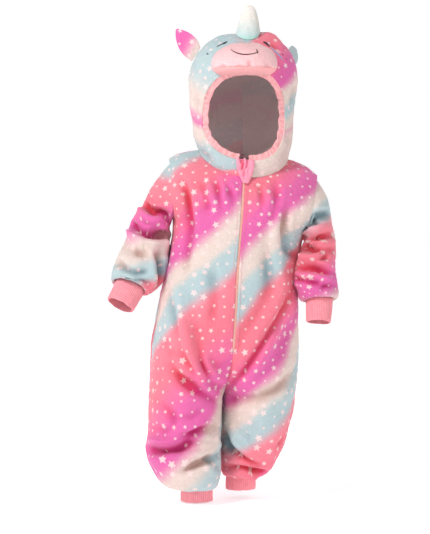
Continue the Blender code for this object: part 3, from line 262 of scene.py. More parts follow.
# A pale patch on the swelling of the crown: its middle, its radius and its place in the print
CROWN_PATCH, CROWN_PATCH_RADIUS, CROWN_PATCH_BAND = (46, -36, 241), 9.0, 1.34
# Soft swellings of the hood: the middle, the height and the radius
Swell = namedtuple("Swell", "middle height radius")
SWELLS = [Swell((48, -34, 232), 7.0, 17), Swell((22, -30, 236), 2.5, 12), Swell((-100, -10, 96), 3.0, 22)]
HOOD_BACK_CREASES = [
    Crease(2.0, 8, [(-60, 40), (-40, 16), (-14, 6)]),
    Crease(2.0, 8, [(62, 44), (40, 18), (12, 4)]),
    Crease(1.6, 9, [(-50, 120), (-56, 80), (-50, 48)]),
    Crease(1.6, 9, [(46, 116), (52, 82), (48, 50)]),
]
MUZZLE_CREASES = [
    Crease(1.0, 3.2, [(-42, 178), (-30, 170), (-24, 160)]),
    Crease(0.9, 3.0, [(12, 186), (12, 174), (15, 162)]),
    Crease(0.8, 3.0, [(-6, 180), (-7, 170), (-4, 160)]),
    Crease(0.9, 3.2, [(40, 182), (44, 172), (42, 160)]),
    Crease(0.8, 3.0, [(-58, 176), (-52, 166)]),
]
LIP_CREASES = [
    Crease(0.9, 2.2, [(-44, 150), (-40, 142)]),
    Crease(0.9, 2.2, [(-16, 144), (-15, 134)]),
    Crease(0.9, 2.2, [(10, 142), (11, 132)]),
    Crease(0.9, 2.2, [(34, 146), (35, 136)]),
]
HORN_CREASES = [
    Crease(0.35, 3.5, [(-16, 236), (-8, 244), (4, 248)]),
    Crease(0.3, 3.5, [(14, 234), (9, 244), (0, 250)]),
]
TAB_CREASES = [
    Crease(2.0, 2.2, [(-4.5, 11), (1, 1.5), (-2.8, -10)]),
    Crease(1.5, 1.8, [(7.4, 13), (6.2, 0), (2.3, -11), (1, -24)]),
    Crease(-1.0, 2.6, [(-9, 12), (-7.5, -2), (-4, -18)]),
    Crease(-0.9, 2.2, [(3, 12), (3.4, 0), (0, -10)]),
]

# The soft unevenness of cloth: its height and its length along the cloth
Nap = namedtuple("Nap", "height length")
SOFTNESS = [Nap(0.6, 34), Nap(0.3, 13), Nap(0.12, 5.5)]
STUFFED_SOFTNESS = [Nap(0.35, 22), Nap(0.12, 8)]

# The print on the ears: the direction in which its bands change, the knots along it, and the motifs' shift
EarBands = namedtuple("EarBands", "way knots")
EAR_BANDS = {
    "ear_right": EarBands(
        (1, 0, -0.6), [(-232, 0.1), (-206, 0.17), (-192, 0.21), (-179, 0.28), (-162, 0.34)]
    ),
    "ear_left": EarBands((1, 0, -0.2), [(0, 0.42), (60, 0.47), (120, 0.55)]),
}
EAR_PLACE = {"ear_right": (6.0, 4.0), "ear_left": (3.0, 9.0)}

# Embroidery, as seen from the front, with the width of each line
SMILE = [
    [(-21.4, 204.7), (-16, 201), (-9.8, 198.3), (-2, 196.4), (5.3, 196), (13, 196.6)]
    + [(21.4, 198.3), (26.6, 200.8)],
    [(24.2, 204.8), (25.2, 201.6), (26.4, 197.8)],
]
SMILE_WIDTH = 2.6
EYE_LINES = [
    ([(-46.6, 209.5), (-41, 212.6), (-36.5, 214.6)], 2.8),
    ([(-38, 213.8), (-33, 216), (-28.5, 218.8)], 4.6),
    ([(36, 218.5), (41, 215.6), (47, 210)], 5.6),
    ([(-64.4, 197.6), (-62.8, 196.8), (-61.4, 196.2)], 2.6),
    ([(69.6, 196.6), (70.6, 195.6), (71.4, 194.4)], 3.0),
    ([(76.6, 188.6), (77.2, 187.8), (77.6, 187)], 2.4),
]
BLUE_LINES = [([(49, 208.6), (54, 204.2), (60, 198.4), (67, 191.4), (71, 186)], 3.2)]
# How high the embroidery stands about its middle, how far out of the cloth that lies, and a strand's width
SATIN_HEIGHT, SATIN_OUT = 0.45, 0.12
STRAND = 0.45
# The rows of stitches beside the zip: their distance from its middle, the level that they start below, and
# the length, gap and width of a stitch, then the length and width of the bar tack under them
ZIP_STITCH, STITCHES_BELOW = 7.0, -36
STITCH_LENGTH, STITCH_GAP, STITCH_WIDTH = 2.6, 1.0, 0.7
BAR_TACK, BAR_TACK_WIDTH = 8.4, 2.6
# The zip: how thick its tape is, how far apart its teeth are, how far each reaches to a side, and half the
# thickness of a tooth
TAPE_THICKNESS = 1.1
TOOTH_STEP, TOOTH_REACH, TOOTH_HALF = 0.75, 1.05, 0.36

# How far the inner sides of the legs swell until they touch, how far to the wearer's right the middle between
# them lies at levels below the origin, and where the swelling starts at the top and ends at the foot
INSEAM_SWELL = 1.7
INSEAM_LEVELS, INSEAM_LEAN = (0, 300, 412, 570), (0, 33, 38, 41)
INSEAM_TOP, INSEAM_FOOT = (396, 420), (-562, -540)
# How far the body's sides and the sleeves' inner sides swell until they lie on each other, and the levels
# below the origin where the swelling starts, is full, starts to fade and ends
SIDE_SWELL, SIDE_LEVELS = 3.0, (112, 150, 225, 290)
SLEEVE_SWELL, SLEEVE_LEVELS = {"left": 8.0, "right": 5.0}, (100, 128, 200, 226)

# The middle of the hood, how far below the origin the legs part, how far the body leans there and how far
# the legs then stand from its middle
HOOD_MIDDLE = (0, 6, 96)
CROTCH_DROP, BODY_LEAN, LEG_OFFSET = 380, -38, 62
# The sleeves' axes, from the shoulder to the cuff
SLEEVE_AXES = {"left": ((122, 2, -74), (132, -44, -238)), "right": ((-134, 2, -50), (-196, -42, -216))}

# How much the cut along a sleeve's underside keeps off its outer side and off its front
CUT_OFF_OUTSIDE, CUT_OFF_FRONT = 4, 5

# The rib cuffs: the way each hangs, the radius at which its cloth is measured, how many ribs it has and how
# high they are
CUFF_AXES = {
    "wrist_cuff_right": (-15, -13, -29),
    "wrist_cuff_left": (-2, -9, -35),
    "ankle_cuff_right": (0, 0, -1),
    "ankle_cuff_left": (0, 0, -1),
}
CUFF_RADIUS = 27.0
RIBS, RIB_HEIGHT = 46, 0.42

# The gathers of the hood's facing: how many and how high
FACING_RUCKS, FACING_RUCK_HEIGHT = 46, 0.9

# How high the horn's colours start, over what height they change, and where its blush lies
HORN_FOOT, HORN_RISE, HORN_BLUSH = 210.0, 60.0, -12.0

# The muzzle is drawn in by this share towards its top, about its middle, and the lip is lifted
MUZZLE_MIDDLE, MUZZLE_DRAW, LIP_LIFT = 4, 0.17, 1.6

# Floor and light: how far the floor is flat, where its wall stands and how high, how many sides it has,
# and each lamp's place in metres, power and size
FLOOR_FLAT, FLOOR_WALL, FLOOR_HEIGHT = 2.2, 6.0, 3.6
FLOOR_SIDES, FLOOR_STEPS = 72, 12
FLOOR_DROP, FLOOR_GLOW, SKY_LIGHT = 0.002, 0.52, 0.22
Lamp = namedtuple("Lamp", "name place power size")
LAMPS = [
    Lamp("key", (-1.5, -1.6, 1.7), 45, 0.6),
    Lamp("fill", (1.8, -1.9, 0.5), 5, 1.8),
    Lamp("back", (0.4, 2.2, 1.6), 14, 1.4),
]


def unit(v):
    return np.asarray(v, float) / np.linalg.norm(v)


def rise(low, high, at):
    """0 below low, 1 above high, and a smooth step between them."""
    t = np.clip((np.asarray(at, float) - low) / (high - low), 0, 1)
    return t * t * (3 - 2 * t)


def between(levels, at):
    """0 outside the first and last level, 1 between the inner two, and smooth steps in between."""
    start, full, fade, end = levels
    return rise(start, full, at) * (1 - rise(fade, end, at))


def linear(*colour):
    """A colour given as it looks on a screen, from 0 to 255, as the shader takes it."""
    c = np.array(colour) / 255.0
    return (*np.where(c < 0.04045, c / 12.92, ((c + 0.055) / 1.055) ** 2.4), 1.0)


def waves(points, length, seed):
    """A soft uneven field from -1 to 1 over points in millimetres, the same each time."""
    rng = np.random.default_rng(seed)
    total = np.zeros(len(points))
    for _ in range(9):
        direction = unit(rng.normal(size=3))
        rate = 2 * math.pi / (length * rng.uniform(0.7, 1.6))
        total += np.sin(points @ direction * rate + rng.uniform(0, 7))
    return np.tanh(total / 3)


def camera_place():
    """Where the camera stands, in millimetres."""
    tilt = math.radians(CAMERA_ELEVATION)
    back = np.array([0, -math.cos(tilt), math.sin(tilt)])
    return (np.array(VIEW_CENTRE) + back * CAMERA_DISTANCE) / MM


def as_seen(points):
    """Where the camera sees points on the upright plane through the origin: x and z, in millimetres."""
    eye = camera_place()
    share = eye[1] / (eye[1] - points[:, 1])
    return eye[[0, 2]] + (points[:, [0, 2]] - eye[[0, 2]]) * share[:, None]


# Meshes


def values(items, name, width=1, kind=float):
    """A property of a mesh's items, as an array with a number or a row for each."""
    flat = np.empty(len(items) * width, dtype=kind)
    items.foreach_get(name, flat)
    return flat.reshape(-1, width) if width > 1 else flat


def corner_points(mesh):
    """The point that each face corner lies on."""
    return values(mesh.loops, "vertex_index", kind=np.int32)


def face_sheets(mesh):
    """The sheet that each face belongs to."""
    return values(mesh.polygons, "material_index", kind=np.int32)


def face_sizes(mesh):
    """How many corners each face has."""
    return values(mesh.polygons, "loop_total", kind=np.int32)


def store(mesh, name, numbers):
    """Keeps a number for each point, which a material reads by that name."""
    layer = mesh.attributes.new(name, "FLOAT", "POINT")
    layer.data.foreach_set("value", np.asarray(numbers, np.float32))


def flat_corners(mesh):
    """Each corner's place on the flat cloth, as stored."""
    return values(mesh.uv_layers["cloth"].data, "uv", 2)


def lay_corners(mesh, places):
    """Gives each corner its place on the flat cloth, in millimetres."""
    mesh.uv_layers["cloth"].data.foreach_set("uv", (places * MM).ravel())


def solid_of(node):
    """The node's solid as one joined mesh, ready to have its edges marked."""
    bm = bmesh.new()
    bm.from_mesh(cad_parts[node].data)
    bm.edges.layers.float.new("crease_edge")
    bmesh.ops.remove_doubles(bm, verts=bm.verts, dist=1e-5)
    return bm


def connected(faces):
    """The groups of faces that share edges without a sharp turn between them, largest first."""
    left, groups = set(faces), []
    while left:
        waiting, group = [left.pop()], []
        while waiting:
            face = waiting.pop()
            group.append(face)
            for edge in face.edges:
                if edge.calc_face_angle(0) > SHARP_TURN:
                    continue
                for other in edge.link_faces:
                    if other in left:
                        left.discard(other)
                        waiting.append(other)
        groups.append(group)
    return sorted(groups, key=lambda g: -sum(f.calc_area() for f in g))


def sheets_of(bm, centre_of):
    """Gives each face of a wall 0 on its outer sheet, 1 on its inner one and 2 on a rim between them."""
    tree = BVHTree.FromBMesh(bm)
    thin = []
    for face in bm.faces:
        start = face.calc_center_median() - face.normal * 1e-5
        _, normal, _, _ = tree.ray_cast(start, -face.normal, WALL_LIMIT * MM)
        if normal is not None and normal.dot(face.normal) < WALL_FACING:
            thin.append(face)
    groups = connected(thin)

    def outward(group):
        """How much a group of faces looks away from the middle of the piece."""
        middles = [(f, f.calc_center_median()) for f in group]
        return sum(f.normal.dot(m - centre_of(m)) * f.calc_area() for f, m in middles)

    if outward(groups[0]) < outward(groups[1]):
        groups[:2] = groups[1::-1]
    sheet = {face: number for number, group in enumerate(groups[:2]) for face in group}
    for group in connected([f for f in bm.faces if f not in sheet]):
        beside = {sheet[o] for f in group for e in f.edges for o in e.link_faces if o in sheet}
        kind = 2 if len(beside) != 1 else min(beside)
        for face in group:
            face.material_index = kind
    for face, number in sheet.items():
        face.material_index = number


def join_pairs(bm):
    """Joins triangles into quads within each sheet."""
    bmesh.ops.join_triangles(
        bm,
        faces=bm.faces,
        cmp_materials=True,
        angle_face_threshold=math.radians(70),
        angle_shape_threshold=math.radians(120),
    )
    bm.normal_update()


def mark_rims(bm, growth):
    """Marks and holds the edges of the sheets, and moves the rims out so that sewn edges meet."""
    layer = bm.edges.layers.float.get("crease_edge")
    push = {}
    for e in bm.edges:
        kinds = {f.material_index for f in e.link_faces}
        if len(kinds) > 1:
            e[layer] = RIM_FIRMNESS
            e.seam = True
        elif kinds == {2} and e.calc_face_angle(0) > SHARP_TURN:
            e[layer] = RIM_FIRMNESS
    for f in bm.faces:
        if f.material_index == 2:
            for v in f.verts:
                push[v] = push.get(v, Vector()) + f.normal
    for v, way in push.items():
        if way.length > 1e-6:
            v.co += way.normalized() * growth * MM


def mark_turns(bm):
    """Holds the sharp turns of a stuffed form a little."""
    layer = bm.edges.layers.float.get("crease_edge")
    for e in bm.edges:
        if len(e.link_faces) == 2 and e.calc_face_angle(0) > SHARP_TURN:
            e[layer] = TURN_FIRMNESS


def new_object(name, mesh):
    made = bpy.data.objects.new(name, mesh)
    bpy.context.scene.collection.objects.link(made)
    return made


def subdivided(piece, levels):
    """The piece with its subdivision surface applied."""
    modifier = piece.modifiers.new("smooth", "SUBSURF")
    modifier.levels = modifier.render_levels = levels
    modifier.uv_smooth = "PRESERVE_BOUNDARIES"
    modifier.boundary_smooth = "PRESERVE_CORNERS"
    graph = bpy.context.evaluated_depsgraph_get()
    mesh = bpy.data.meshes.new_from_object(piece.evaluated_get(graph))
    piece.modifiers.clear()
    old = piece.data
    piece.data = mesh
    bpy.data.meshes.remove(old)
    mesh.name = piece.name
    return piece


def points_of(mesh):
    """The mesh's points, in millimetres."""
    return values(mesh.vertices, "co", 3) / MM


def set_points(mesh, points):
    mesh.vertices.foreach_set("co", (points * MM).ravel())
    mesh.update()


def outer_normals(mesh):
    """Which points lie on the outer sheet, and the normal there from its faces alone."""
    corners = corner_points(mesh)
    face_of = np.repeat(np.arange(len(mesh.polygons)), face_sizes(mesh))
    weighted = values(mesh.polygons, "normal", 3) * values(mesh.polygons, "area")[:, None]
    on_outer = face_sheets(mesh)[face_of] == 0
    total = np.zeros((len(mesh.vertices), 3))
    np.add.at(total, corners[on_outer], weighted[face_of[on_outer]])
    outer = np.zeros(len(mesh.vertices), bool)
    outer[corners[on_outer]] = True
    length = np.maximum(np.linalg.norm(total, axis=1, keepdims=True), 1e-12)
    return outer, total / length


def partners(points, outer):
    """For each point the nearest one on the outer sheet, which it moves with."""
    index = np.flatnonzero(outer)
    tree = KDTree(len(index))
    for i in index:
        tree.insert(points[i], int(i))
    tree.balance()
    found = np.arange(len(points))
    for i in np.flatnonzero(~outer):
        found[i] = tree.find(points[i])[1]
    return found


def wall(mesh):
    """A wall's points, the outer sheet's normals, and the outer point that each point moves with."""
    points = points_of(mesh)
    outer, normals = outer_normals(mesh)
    return points, normals, partners(points, outer)


def smooth_line(line):
    """Points on a smooth curve through the given ones."""
    p = np.array(line, float)
    p = np.concatenate([[2 * p[0] - p[1]], p, [2 * p[-1] - p[-2]]])
    out = []
    for i in range(1, len(p) - 2):
        for t in np.linspace(0, 1, 6, endpoint=False):
            a = 2 * p[i]
            b = (p[i + 1] - p[i - 1]) * t
            c = (2 * p[i - 1] - 5 * p[i] + 4 * p[i + 1] - p[i + 2]) * t * t
            d = (-p[i - 1] + 3 * p[i] - 3 * p[i + 1] + p[i + 2]) * t**3
            out.append((a + b + c + d) / 2)
    out.append(p[-2])
    return np.array(out)


def from_rims(mesh, points):
    """How far each point lies from the nearest rim."""
    on_rim = {v for p in mesh.polygons if p.material_index == 2 for v in p.vertices}
    tree = KDTree(len(on_rim))
    for v in on_rim:
        tree.insert(points[v], v)
    tree.balance()
    return np.array([tree.find(p)[2] for p in points])


def crease_height(x, z, crease, seed):
    """How far the crease moves the cloth out at (x, z): a trough with soft lips, uneven along its run."""
    line = smooth_line(crease.line)
    run = np.concatenate([[0], np.cumsum(np.linalg.norm(np.diff(line, axis=0), axis=1))])
    nearest = np.full(x.shape, 1e9)
    along = np.zeros(x.shape)
    for i in range(len(line) - 1):
        a, d = line[i], line[i + 1] - line[i]
        t = np.clip(((x - a[0]) * d[0] + (z - a[1]) * d[1]) / (d @ d), 0, 1)
        far = np.hypot(x - a[0] - t * d[0], z - a[1] - t * d[1])
        closer = far < nearest
        nearest = np.where(closer, far, nearest)
        along = np.where(closer, (run[i] + t * (run[i + 1] - run[i])) / run[-1], along)
    rng = random.Random(seed)
    uneven = FOLD_GAIN * (1 + 0.3 * np.sin(along * rng.uniform(5, 9) + rng.uniform(0, 6)))
    ends = np.sin(math.pi * np.clip(along, 0.02, 0.98)) ** 0.5
    width = FOLD_SPREAD * crease.width * (0.85 + 0.3 * np.sin(along * 4 + rng.uniform(0, 6)) ** 2)
    lips = LIP_SHARE * np.exp(-(((nearest - LIP_AT * width) / width) ** 2))
    trough = np.exp(-((nearest / width) ** 2)) - lips
    return -crease.depth * uneven * ends * trough


def creased(mesh, front, back, swells=()):
    """Moves the cloth in and out along its normals by the creases on each side and a soft unevenness."""
    points, normals, partner = wall(mesh)
    height = np.zeros(len(points))
    away = rise(0.5, SEAM_CALM, from_rims(mesh, points))
    for creases, side, (x, z) in ((front, -1, as_seen(points).T), (back, 1, points[:, [0, 2]].T)):
        facing = rise(0.08, 0.5, normals[:, 1] * side) * away
        for number, crease in enumerate(creases):
            height += crease_height(x, z, crease, number + 31 * side) * facing
    for swell in swells:
        far = np.linalg.norm(points - np.array(swell.middle, float), axis=1) / swell.radius
        height += swell.height * np.exp(-(far**2))
    for number, nap in enumerate(SOFTNESS):
        height += nap.height * waves(points, nap.length, 400 + number)
    moved = normals * height[:, None]
    set_points(mesh, points + moved[partner])
    # Painted shade: each trough's depth is kept for the material, which darkens the colour there
    store(mesh, "painted_shade", np.clip(-height[partner] / FULL_SHADE_DEPTH, 0, 1))


# The flat pattern of each piece, for its print


def unwrap(piece):
    """Lays the outer sheet flat, cut along its seams."""
    mesh = piece.data
    for other in bpy.context.selected_objects:
        other.select_set(False)
    bpy.context.view_layer.objects.active = piece
    piece.select_set(True)
    mesh.uv_layers.new(name="cloth")
    bpy.ops.object.mode_set(mode="EDIT")
    bpy.ops.mesh.select_all(action="DESELECT")
    bm = bmesh.from_edit_mesh(mesh)
    for f in bm.faces:
        f.select_set(f.material_index == 0)
    bmesh.update_edit_mesh(mesh)
    bpy.ops.uv.unwrap(method="ANGLE_BASED", margin=0)
    bpy.ops.object.mode_set(mode="OBJECT")
    piece.select_set(False)


def lay_print(piece, seen):
    """Turns and scales the flat pattern to lie as seen, and lays inner points on their outer partners."""
    mesh = piece.data
    points = points_of(mesh)
    outer, normals = outer_normals(mesh)
    corners = corner_points(mesh)
    flat = flat_corners(mesh)
    on_outer = np.repeat(face_sheets(mesh) == 0, face_sizes(mesh))
    place = np.zeros((len(points), 2))
    place[corners[on_outer]] = flat[on_outer]
    real, drawn = 0.0, 0.0
    for p in mesh.polygons:
        if p.material_index == 0:
            real += p.area / MM**2
            uv = flat[p.loop_start : p.loop_start + p.loop_total]
            drawn += abs(np.sum(uv[:, 0] * np.roll(uv[:, 1], -1) - uv[:, 1] * np.roll(uv[:, 0], -1))) / 2
    scale = math.sqrt(real / drawn)
    place *= scale
    target, weight = seen(points, normals)
    weight = weight * outer
    weight = weight / weight.sum()
    mid_place, mid_target = weight @ place, weight @ target
    spread, aim = place - mid_place, target - mid_target
    u, _, v = np.linalg.svd(spread.T @ (aim * weight[:, None]))
    turn = u @ v
    place = spread @ turn + mid_target
    partner = partners(points, outer)
    laid_flat = place[partner][corners]
    laid_flat[on_outer] = (flat[on_outer] * scale - mid_place) @ turn + mid_target
    lay_corners(mesh, laid_flat)


def store_place(mesh, place):
    """Gives each point its place on the flat cloth, in millimetres."""
    lay_corners(mesh, place[corner_points(mesh)])


def bands_at(lay, u, v):
    """How many repeats of the print lie above each place (u across, v up), by the piece's knots."""
    spread = np.stack([u, v, u * 0], axis=-1)
    drop = -(v - (u - lay.across) * math.tan(math.radians(lay.slope)))
    drop += 5 * waves(spread, 90, 7) + 2.5 * waves(spread, 34, 8)
    at, band = np.array(lay.knots, float).T
    first, last = (band[1] - band[0]) / (at[1] - at[0]), (band[-1] - band[-2]) / (at[-1] - at[-2])
    before, after = np.minimum(drop - at[0], 0), np.maximum(drop - at[-1], 0)
    return np.interp(drop, at, band) + before * first + after * last


def flat_places(mesh):
    """Each point's place on the flat cloth, in millimetres."""
    place = np.zeros((len(mesh.vertices), 2))
    place[corner_points(mesh)] = flat_corners(mesh) / MM
    return place


def seen_from(side):
    """What unwrapped cloth is turned to match: the front, back, left or right view of the piece."""

    def seen(points, normals):
        x, y, z = points.T
        if side == "front":
            return as_seen(points), rise(0.3, 0.7, -normals[:, 1])
        if side == "back":
            return np.stack([-x, z], axis=-1), rise(0.3, 0.7, normals[:, 1])
        sign = 1 if side == "left" else -1
        return np.stack([sign * y, z], axis=-1), rise(0.3, 0.7, sign * normals[:, 0])

    return seen


# Materials


class Nodes:
    """A material's node tree with short ways to add to it."""

    def __init__(self, name, roughness, sheen=0.0, sheen_tint=(1, 1, 1, 1)):
        self.material = bpy.data.materials.new(name)
        self.material.use_nodes = True
        self.tree = self.material.node_tree
        self.shader = self.tree.nodes["Principled BSDF"]
        self.shader.inputs["Roughness"].default_value = roughness
        self.shader.inputs["Sheen Weight"].default_value = sheen
        self.shader.inputs["Sheen Roughness"].default_value = 0.45
        self.shader.inputs["Sheen Tint"].default_value = sheen_tint
        self.shader.inputs["Specular IOR Level"].default_value = 0.25

    def add(self, kind, inputs=None, **settings):
        node = self.tree.nodes.new(kind)
        for key, value in settings.items():
            setattr(node, key, value)
        for key, value in (inputs or {}).items():
            self.put(node.inputs[key], value)
        return node

    def put(self, socket, value):
        if isinstance(value, bpy.types.NodeSocket):
            self.tree.links.new(value, socket)
        else:
            socket.default_value = value

    def math(self, operation, *values, clamp=False):
        inputs = dict(enumerate(values))
        return self.add("ShaderNodeMath", inputs, operation=operation, use_clamp=clamp).outputs[0]

    def vector(self, operation, *values):
        inputs = dict(enumerate(values))
        return self.add("ShaderNodeVectorMath", inputs, operation=operation).outputs[0]

    def mix(self, share, a, b, blend="MIX"):
        node = self.add("ShaderNodeMix", data_type="RGBA", blend_type=blend)
        self.put(node.inputs[0], share)
        self.put(node.inputs[6], a)
        self.put(node.inputs[7], b)
        return node.outputs[2]

    def ramp(self, value, stops, ease="LINEAR"):
        node = self.add("ShaderNodeValToRGB", {0: value})
        ramp = node.color_ramp
        ramp.interpolation = ease
        while len(ramp.elements) < len(stops):
            ramp.elements.new(0.5)
        for element, (at, colour) in zip(ramp.elements, stops):
            element.position = at
            element.color = (*colour[:3], 1)
        return node.outputs[0]

    def noise(self, where, scale, detail=2.0):
        inputs = {"Vector": where, "Scale": scale, "Detail": detail}
        return self.add("ShaderNodeTexNoise", inputs).outputs[0]

    def split(self, where):
        return self.add("ShaderNodeSeparateXYZ", {0: where}).outputs

    def flat_place(self):
        """The place on the flat cloth, in metres."""
        return self.add("ShaderNodeUVMap", uv_map="cloth").outputs[0]

    def place_in_space(self):
        return self.add("ShaderNodeTexCoord").outputs["Object"]

    def stored(self, name):
        """A number kept for each point of the mesh."""
        return self.add("ShaderNodeAttribute", attribute_name=name).outputs["Fac"]

    def uneven(self, colour, noise, dark, light):
        """The colour, from a darker shade to a lighter one over the noise."""
        return self.mix(1.0, colour, self.ramp(noise, [(0.3, dark), (0.7, light)]), "MULTIPLY")

    def mix_fold_shade(self, colour, share, shadow):
        """The colour, turned by a share towards a shadow colour where the cloth lies in a fold: painted
        shade.
        """
        return self.mix(self.math("MULTIPLY", self.stored("painted_shade"), share), colour, shadow)

    def bump(self, height, distance, normal=None, strength=1.0):
        node = self.add("ShaderNodeBump", {"Height": height, "Distance": distance, "Strength": strength})
        if normal is not None:
            self.put(node.inputs["Normal"], normal)
        return node.outputs[0]

    def finish(self, colour, normal=None):
        self.put(self.shader.inputs["Base Color"], colour)
        if normal is not None:
            self.put(self.shader.inputs["Normal"], normal)
        return self.material


def motifs(n, place):
    """How much of a star or dot covers each flat place: one to a cell, each with its own size and turn."""
    cells = n.vector("MULTIPLY", place, (1 / (MOTIF_SPACING * MM),) * 2 + (0,))
    corner = n.vector("FLOOR", cells)
    elsewhere = n.vector("ADD", corner, (37.5, 11.5, 0))
    chance = n.add("ShaderNodeTexWhiteNoise", {"Vector": corner}, noise_dimensions="2D")
    other = n.add("ShaderNodeTexWhiteNoise", {"Vector": elsewhere}, noise_dimensions="2D")
    split = n.add("ShaderNodeSeparateColor", {0: chance.outputs["Color"]})
    shift_x = n.math("MULTIPLY_ADD", split.outputs[0], CELL_SPREAD, CELL_EDGE)
    shift_y = n.math("MULTIPLY_ADD", split.outputs[1], CELL_SPREAD, CELL_EDGE)
    within = n.split(n.vector("FRACTION", cells))
    x = n.math("MULTIPLY", n.math("SUBTRACT", within[0], shift_x), MOTIF_SPACING)
    y = n.math("MULTIPLY", n.math("SUBTRACT", within[1], shift_y), MOTIF_SPACING)
    far = n.math("SQRT", n.math("ADD", n.math("MULTIPLY", x, x), n.math("MULTIPLY", y, y)))
    turn = n.math("MULTIPLY", split.outputs[2], 6.2832)
    angle = n.math("ADD", n.math("ADD", n.math("ARCTAN2", y, x), turn), 12.5664)
    wedge = math.pi / 5
    half = n.math("ABSOLUTE", n.math("SUBTRACT", n.math("MODULO", angle, 2 * wedge), wedge))
    size = n.math("MULTIPLY_ADD", other.outputs["Value"], STAR_SPREAD, STAR_SIZE)
    inner = n.math("MULTIPLY", n.math("SINE", n.math("SUBTRACT", wedge, half)), STAR_NOTCH)
    below = n.math("ADD", inner, n.math("SINE", half))
    edge = n.math("DIVIDE", n.math("MULTIPLY", size, STAR_NOTCH * math.sin(wedge)), below)
    star = n.math("MULTIPLY_ADD", n.math("SUBTRACT", edge, far), MOTIF_EDGE, 0.5, clamp=True)
    dot_size = n.math("MULTIPLY_ADD", other.outputs["Value"], DOT_SPREAD, DOT_SIZE)
    dot = n.math("MULTIPLY_ADD", n.math("SUBTRACT", dot_size, far), MOTIF_EDGE, 0.5, clamp=True)
    kind = n.add("ShaderNodeSeparateColor", {0: other.outputs["Color"]}).outputs[1]
    is_star = n.math("LESS_THAN", kind, STAR_SHARE)
    is_blank = n.math("GREATER_THAN", kind, BLANK_SHARE)
    is_dot = n.math("SUBTRACT", 1.0, is_star)
    shape = n.math("ADD", n.math("MULTIPLY", star, is_star), n.math("MULTIPLY", dot, is_dot))
    return n.math("MULTIPLY", shape, n.math("SUBTRACT", 1.0, is_blank))


def with_fold_shade(n, colour):
    """The colour, turned towards a darker, fuller copy of itself where the cloth lies in a fold: painted
    shade.
    """
    shade_colour = n.add("ShaderNodeGamma", {"Color": colour, "Gamma": 1.9}).outputs[0]
    shade_colour = n.mix(1.0, shade_colour, (0.86, 0.80, 0.84, 1), "MULTIPLY")
    return n.mix_fold_shade(colour, 0.9, shade_colour)


def plush(name, wash=0.0):
    """Printed fleece: soft diagonal bands under stars and dots, with a short uneven nap."""
    n = Nodes(name, 0.95, sheen=0.22, sheen_tint=(1.0, 0.93, 0.95, 1))
    place = n.flat_place()
    bands = n.stored("bands")
    stops = [(b.at, b.colour) for b in BANDS] + [(1.0, BANDS[0].colour)]
    nap = n.noise(place, 210.0, 4.0)
    tufts = n.noise(place, 900.0, 2.0)
    feathered = n.math("ADD", bands, n.math("MULTIPLY_ADD", n.noise(place, 420.0, 3.0), 0.05, -0.025))
    colour = n.ramp(n.math("FRACT", feathered), stops, "EASE")
    colour = n.mix(n.math("MULTIPLY", motifs(n, place), 0.86), colour, (*STAR_COLOUR, 1))
    # Painted shade in the folds of the fleece
    colour = n.uneven(with_fold_shade(n, colour), nap, (0.93, 0.92, 0.92), (1.0, 1.0, 1.0))
    if wash:
        colour = n.mix(wash, colour, (*REVERSE_COLOUR, 1))
    first = n.bump(nap, 0.0015)
    return n.finish(colour, n.bump(tufts, 0.0008, first, 0.7))


def knit(name, colour, shadow, wales, rows, depth):
    """Knit cloth: fine wales along the piece with loops across them, with painted shade over the loops and in
    its folds.
    """
    n = Nodes(name, 0.85, sheen=0.2)
    place = n.flat_place()
    x, y, _ = n.split(place)
    across = n.math("SINE", n.math("MULTIPLY", x, 2 * math.pi / (wales * MM)))
    down = n.math("SINE", n.math("MULTIPLY", y, 2 * math.pi / (rows * MM)))
    loops = n.math("MULTIPLY_ADD", n.math("MULTIPLY", across, down), 0.5, 0.5)
    base = n.uneven(colour, n.noise(place, 120.0, 3.0), (0.90, 0.88, 0.88), (1.05, 1.05, 1.05))
    base = n.mix(n.math("MULTIPLY", loops, 0.10), base, shadow)
    return n.finish(n.mix_fold_shade(base, 0.75, shadow), n.bump(loops, depth))


def plain_plush(name, colour, tint, shadow):
    """Short-piled cloth of one colour, with painted shade in its folds."""
    n = Nodes(name, 0.92, sheen=0.25, sheen_tint=tint)
    where = n.place_in_space()
    nap = n.noise(where, 260.0, 4.0)
    tufts = n.noise(where, 1400.0, 2.0)
    base = n.uneven(colour, nap, (0.91, 0.90, 0.90), (1.04, 1.04, 1.04))
    return n.finish(n.mix_fold_shade(base, 0.8, shadow), n.bump(tufts, 0.0005, n.bump(nap, 0.0009)))


def horn_plush():
    """Off-white pile that turns mint towards the horn's seam, with a faint blush up one side."""
    n = Nodes("horn_velour", 0.92, sheen=0.25)
    where = n.place_in_space()
    x, _, z = n.split(where)
    nap = n.noise(where, 260.0, 4.0)
    height = n.math("ADD", z, n.math("MULTIPLY_ADD", n.noise(where, 45.0, 2.0), 0.012, -0.006))
    up = n.math("DIVIDE", n.math("SUBTRACT", height, HORN_FOOT * MM), HORN_RISE * MM, clamp=True)
    stops = [
        (0.0, linear(160, 216, 204)[:3]),
        (0.12, linear(176, 216, 208)[:3]),
        (0.24, linear(198, 216, 214)[:3]),
        (0.48, linear(216, 219, 214)[:3]),
        (0.78, linear(228, 222, 214)[:3]),
        (1.0, linear(236, 226, 220)[:3]),
    ]
    colour = n.ramp(up, stops, "EASE")
    side = n.math("DIVIDE", n.math("SUBTRACT", HORN_BLUSH * MM, x), 0.016, clamp=True)
    colour = n.mix(n.math("MULTIPLY", side, 0.35), colour, linear(240, 205, 215))
    base = n.uneven(colour, nap, (0.92, 0.92, 0.92), (1.04, 1.04, 1.04))
    # Painted shade in the folds of the horn
    return n.finish(n.mix_fold_shade(base, 0.5, linear(160, 190, 190)), n.bump(nap, 0.0010))


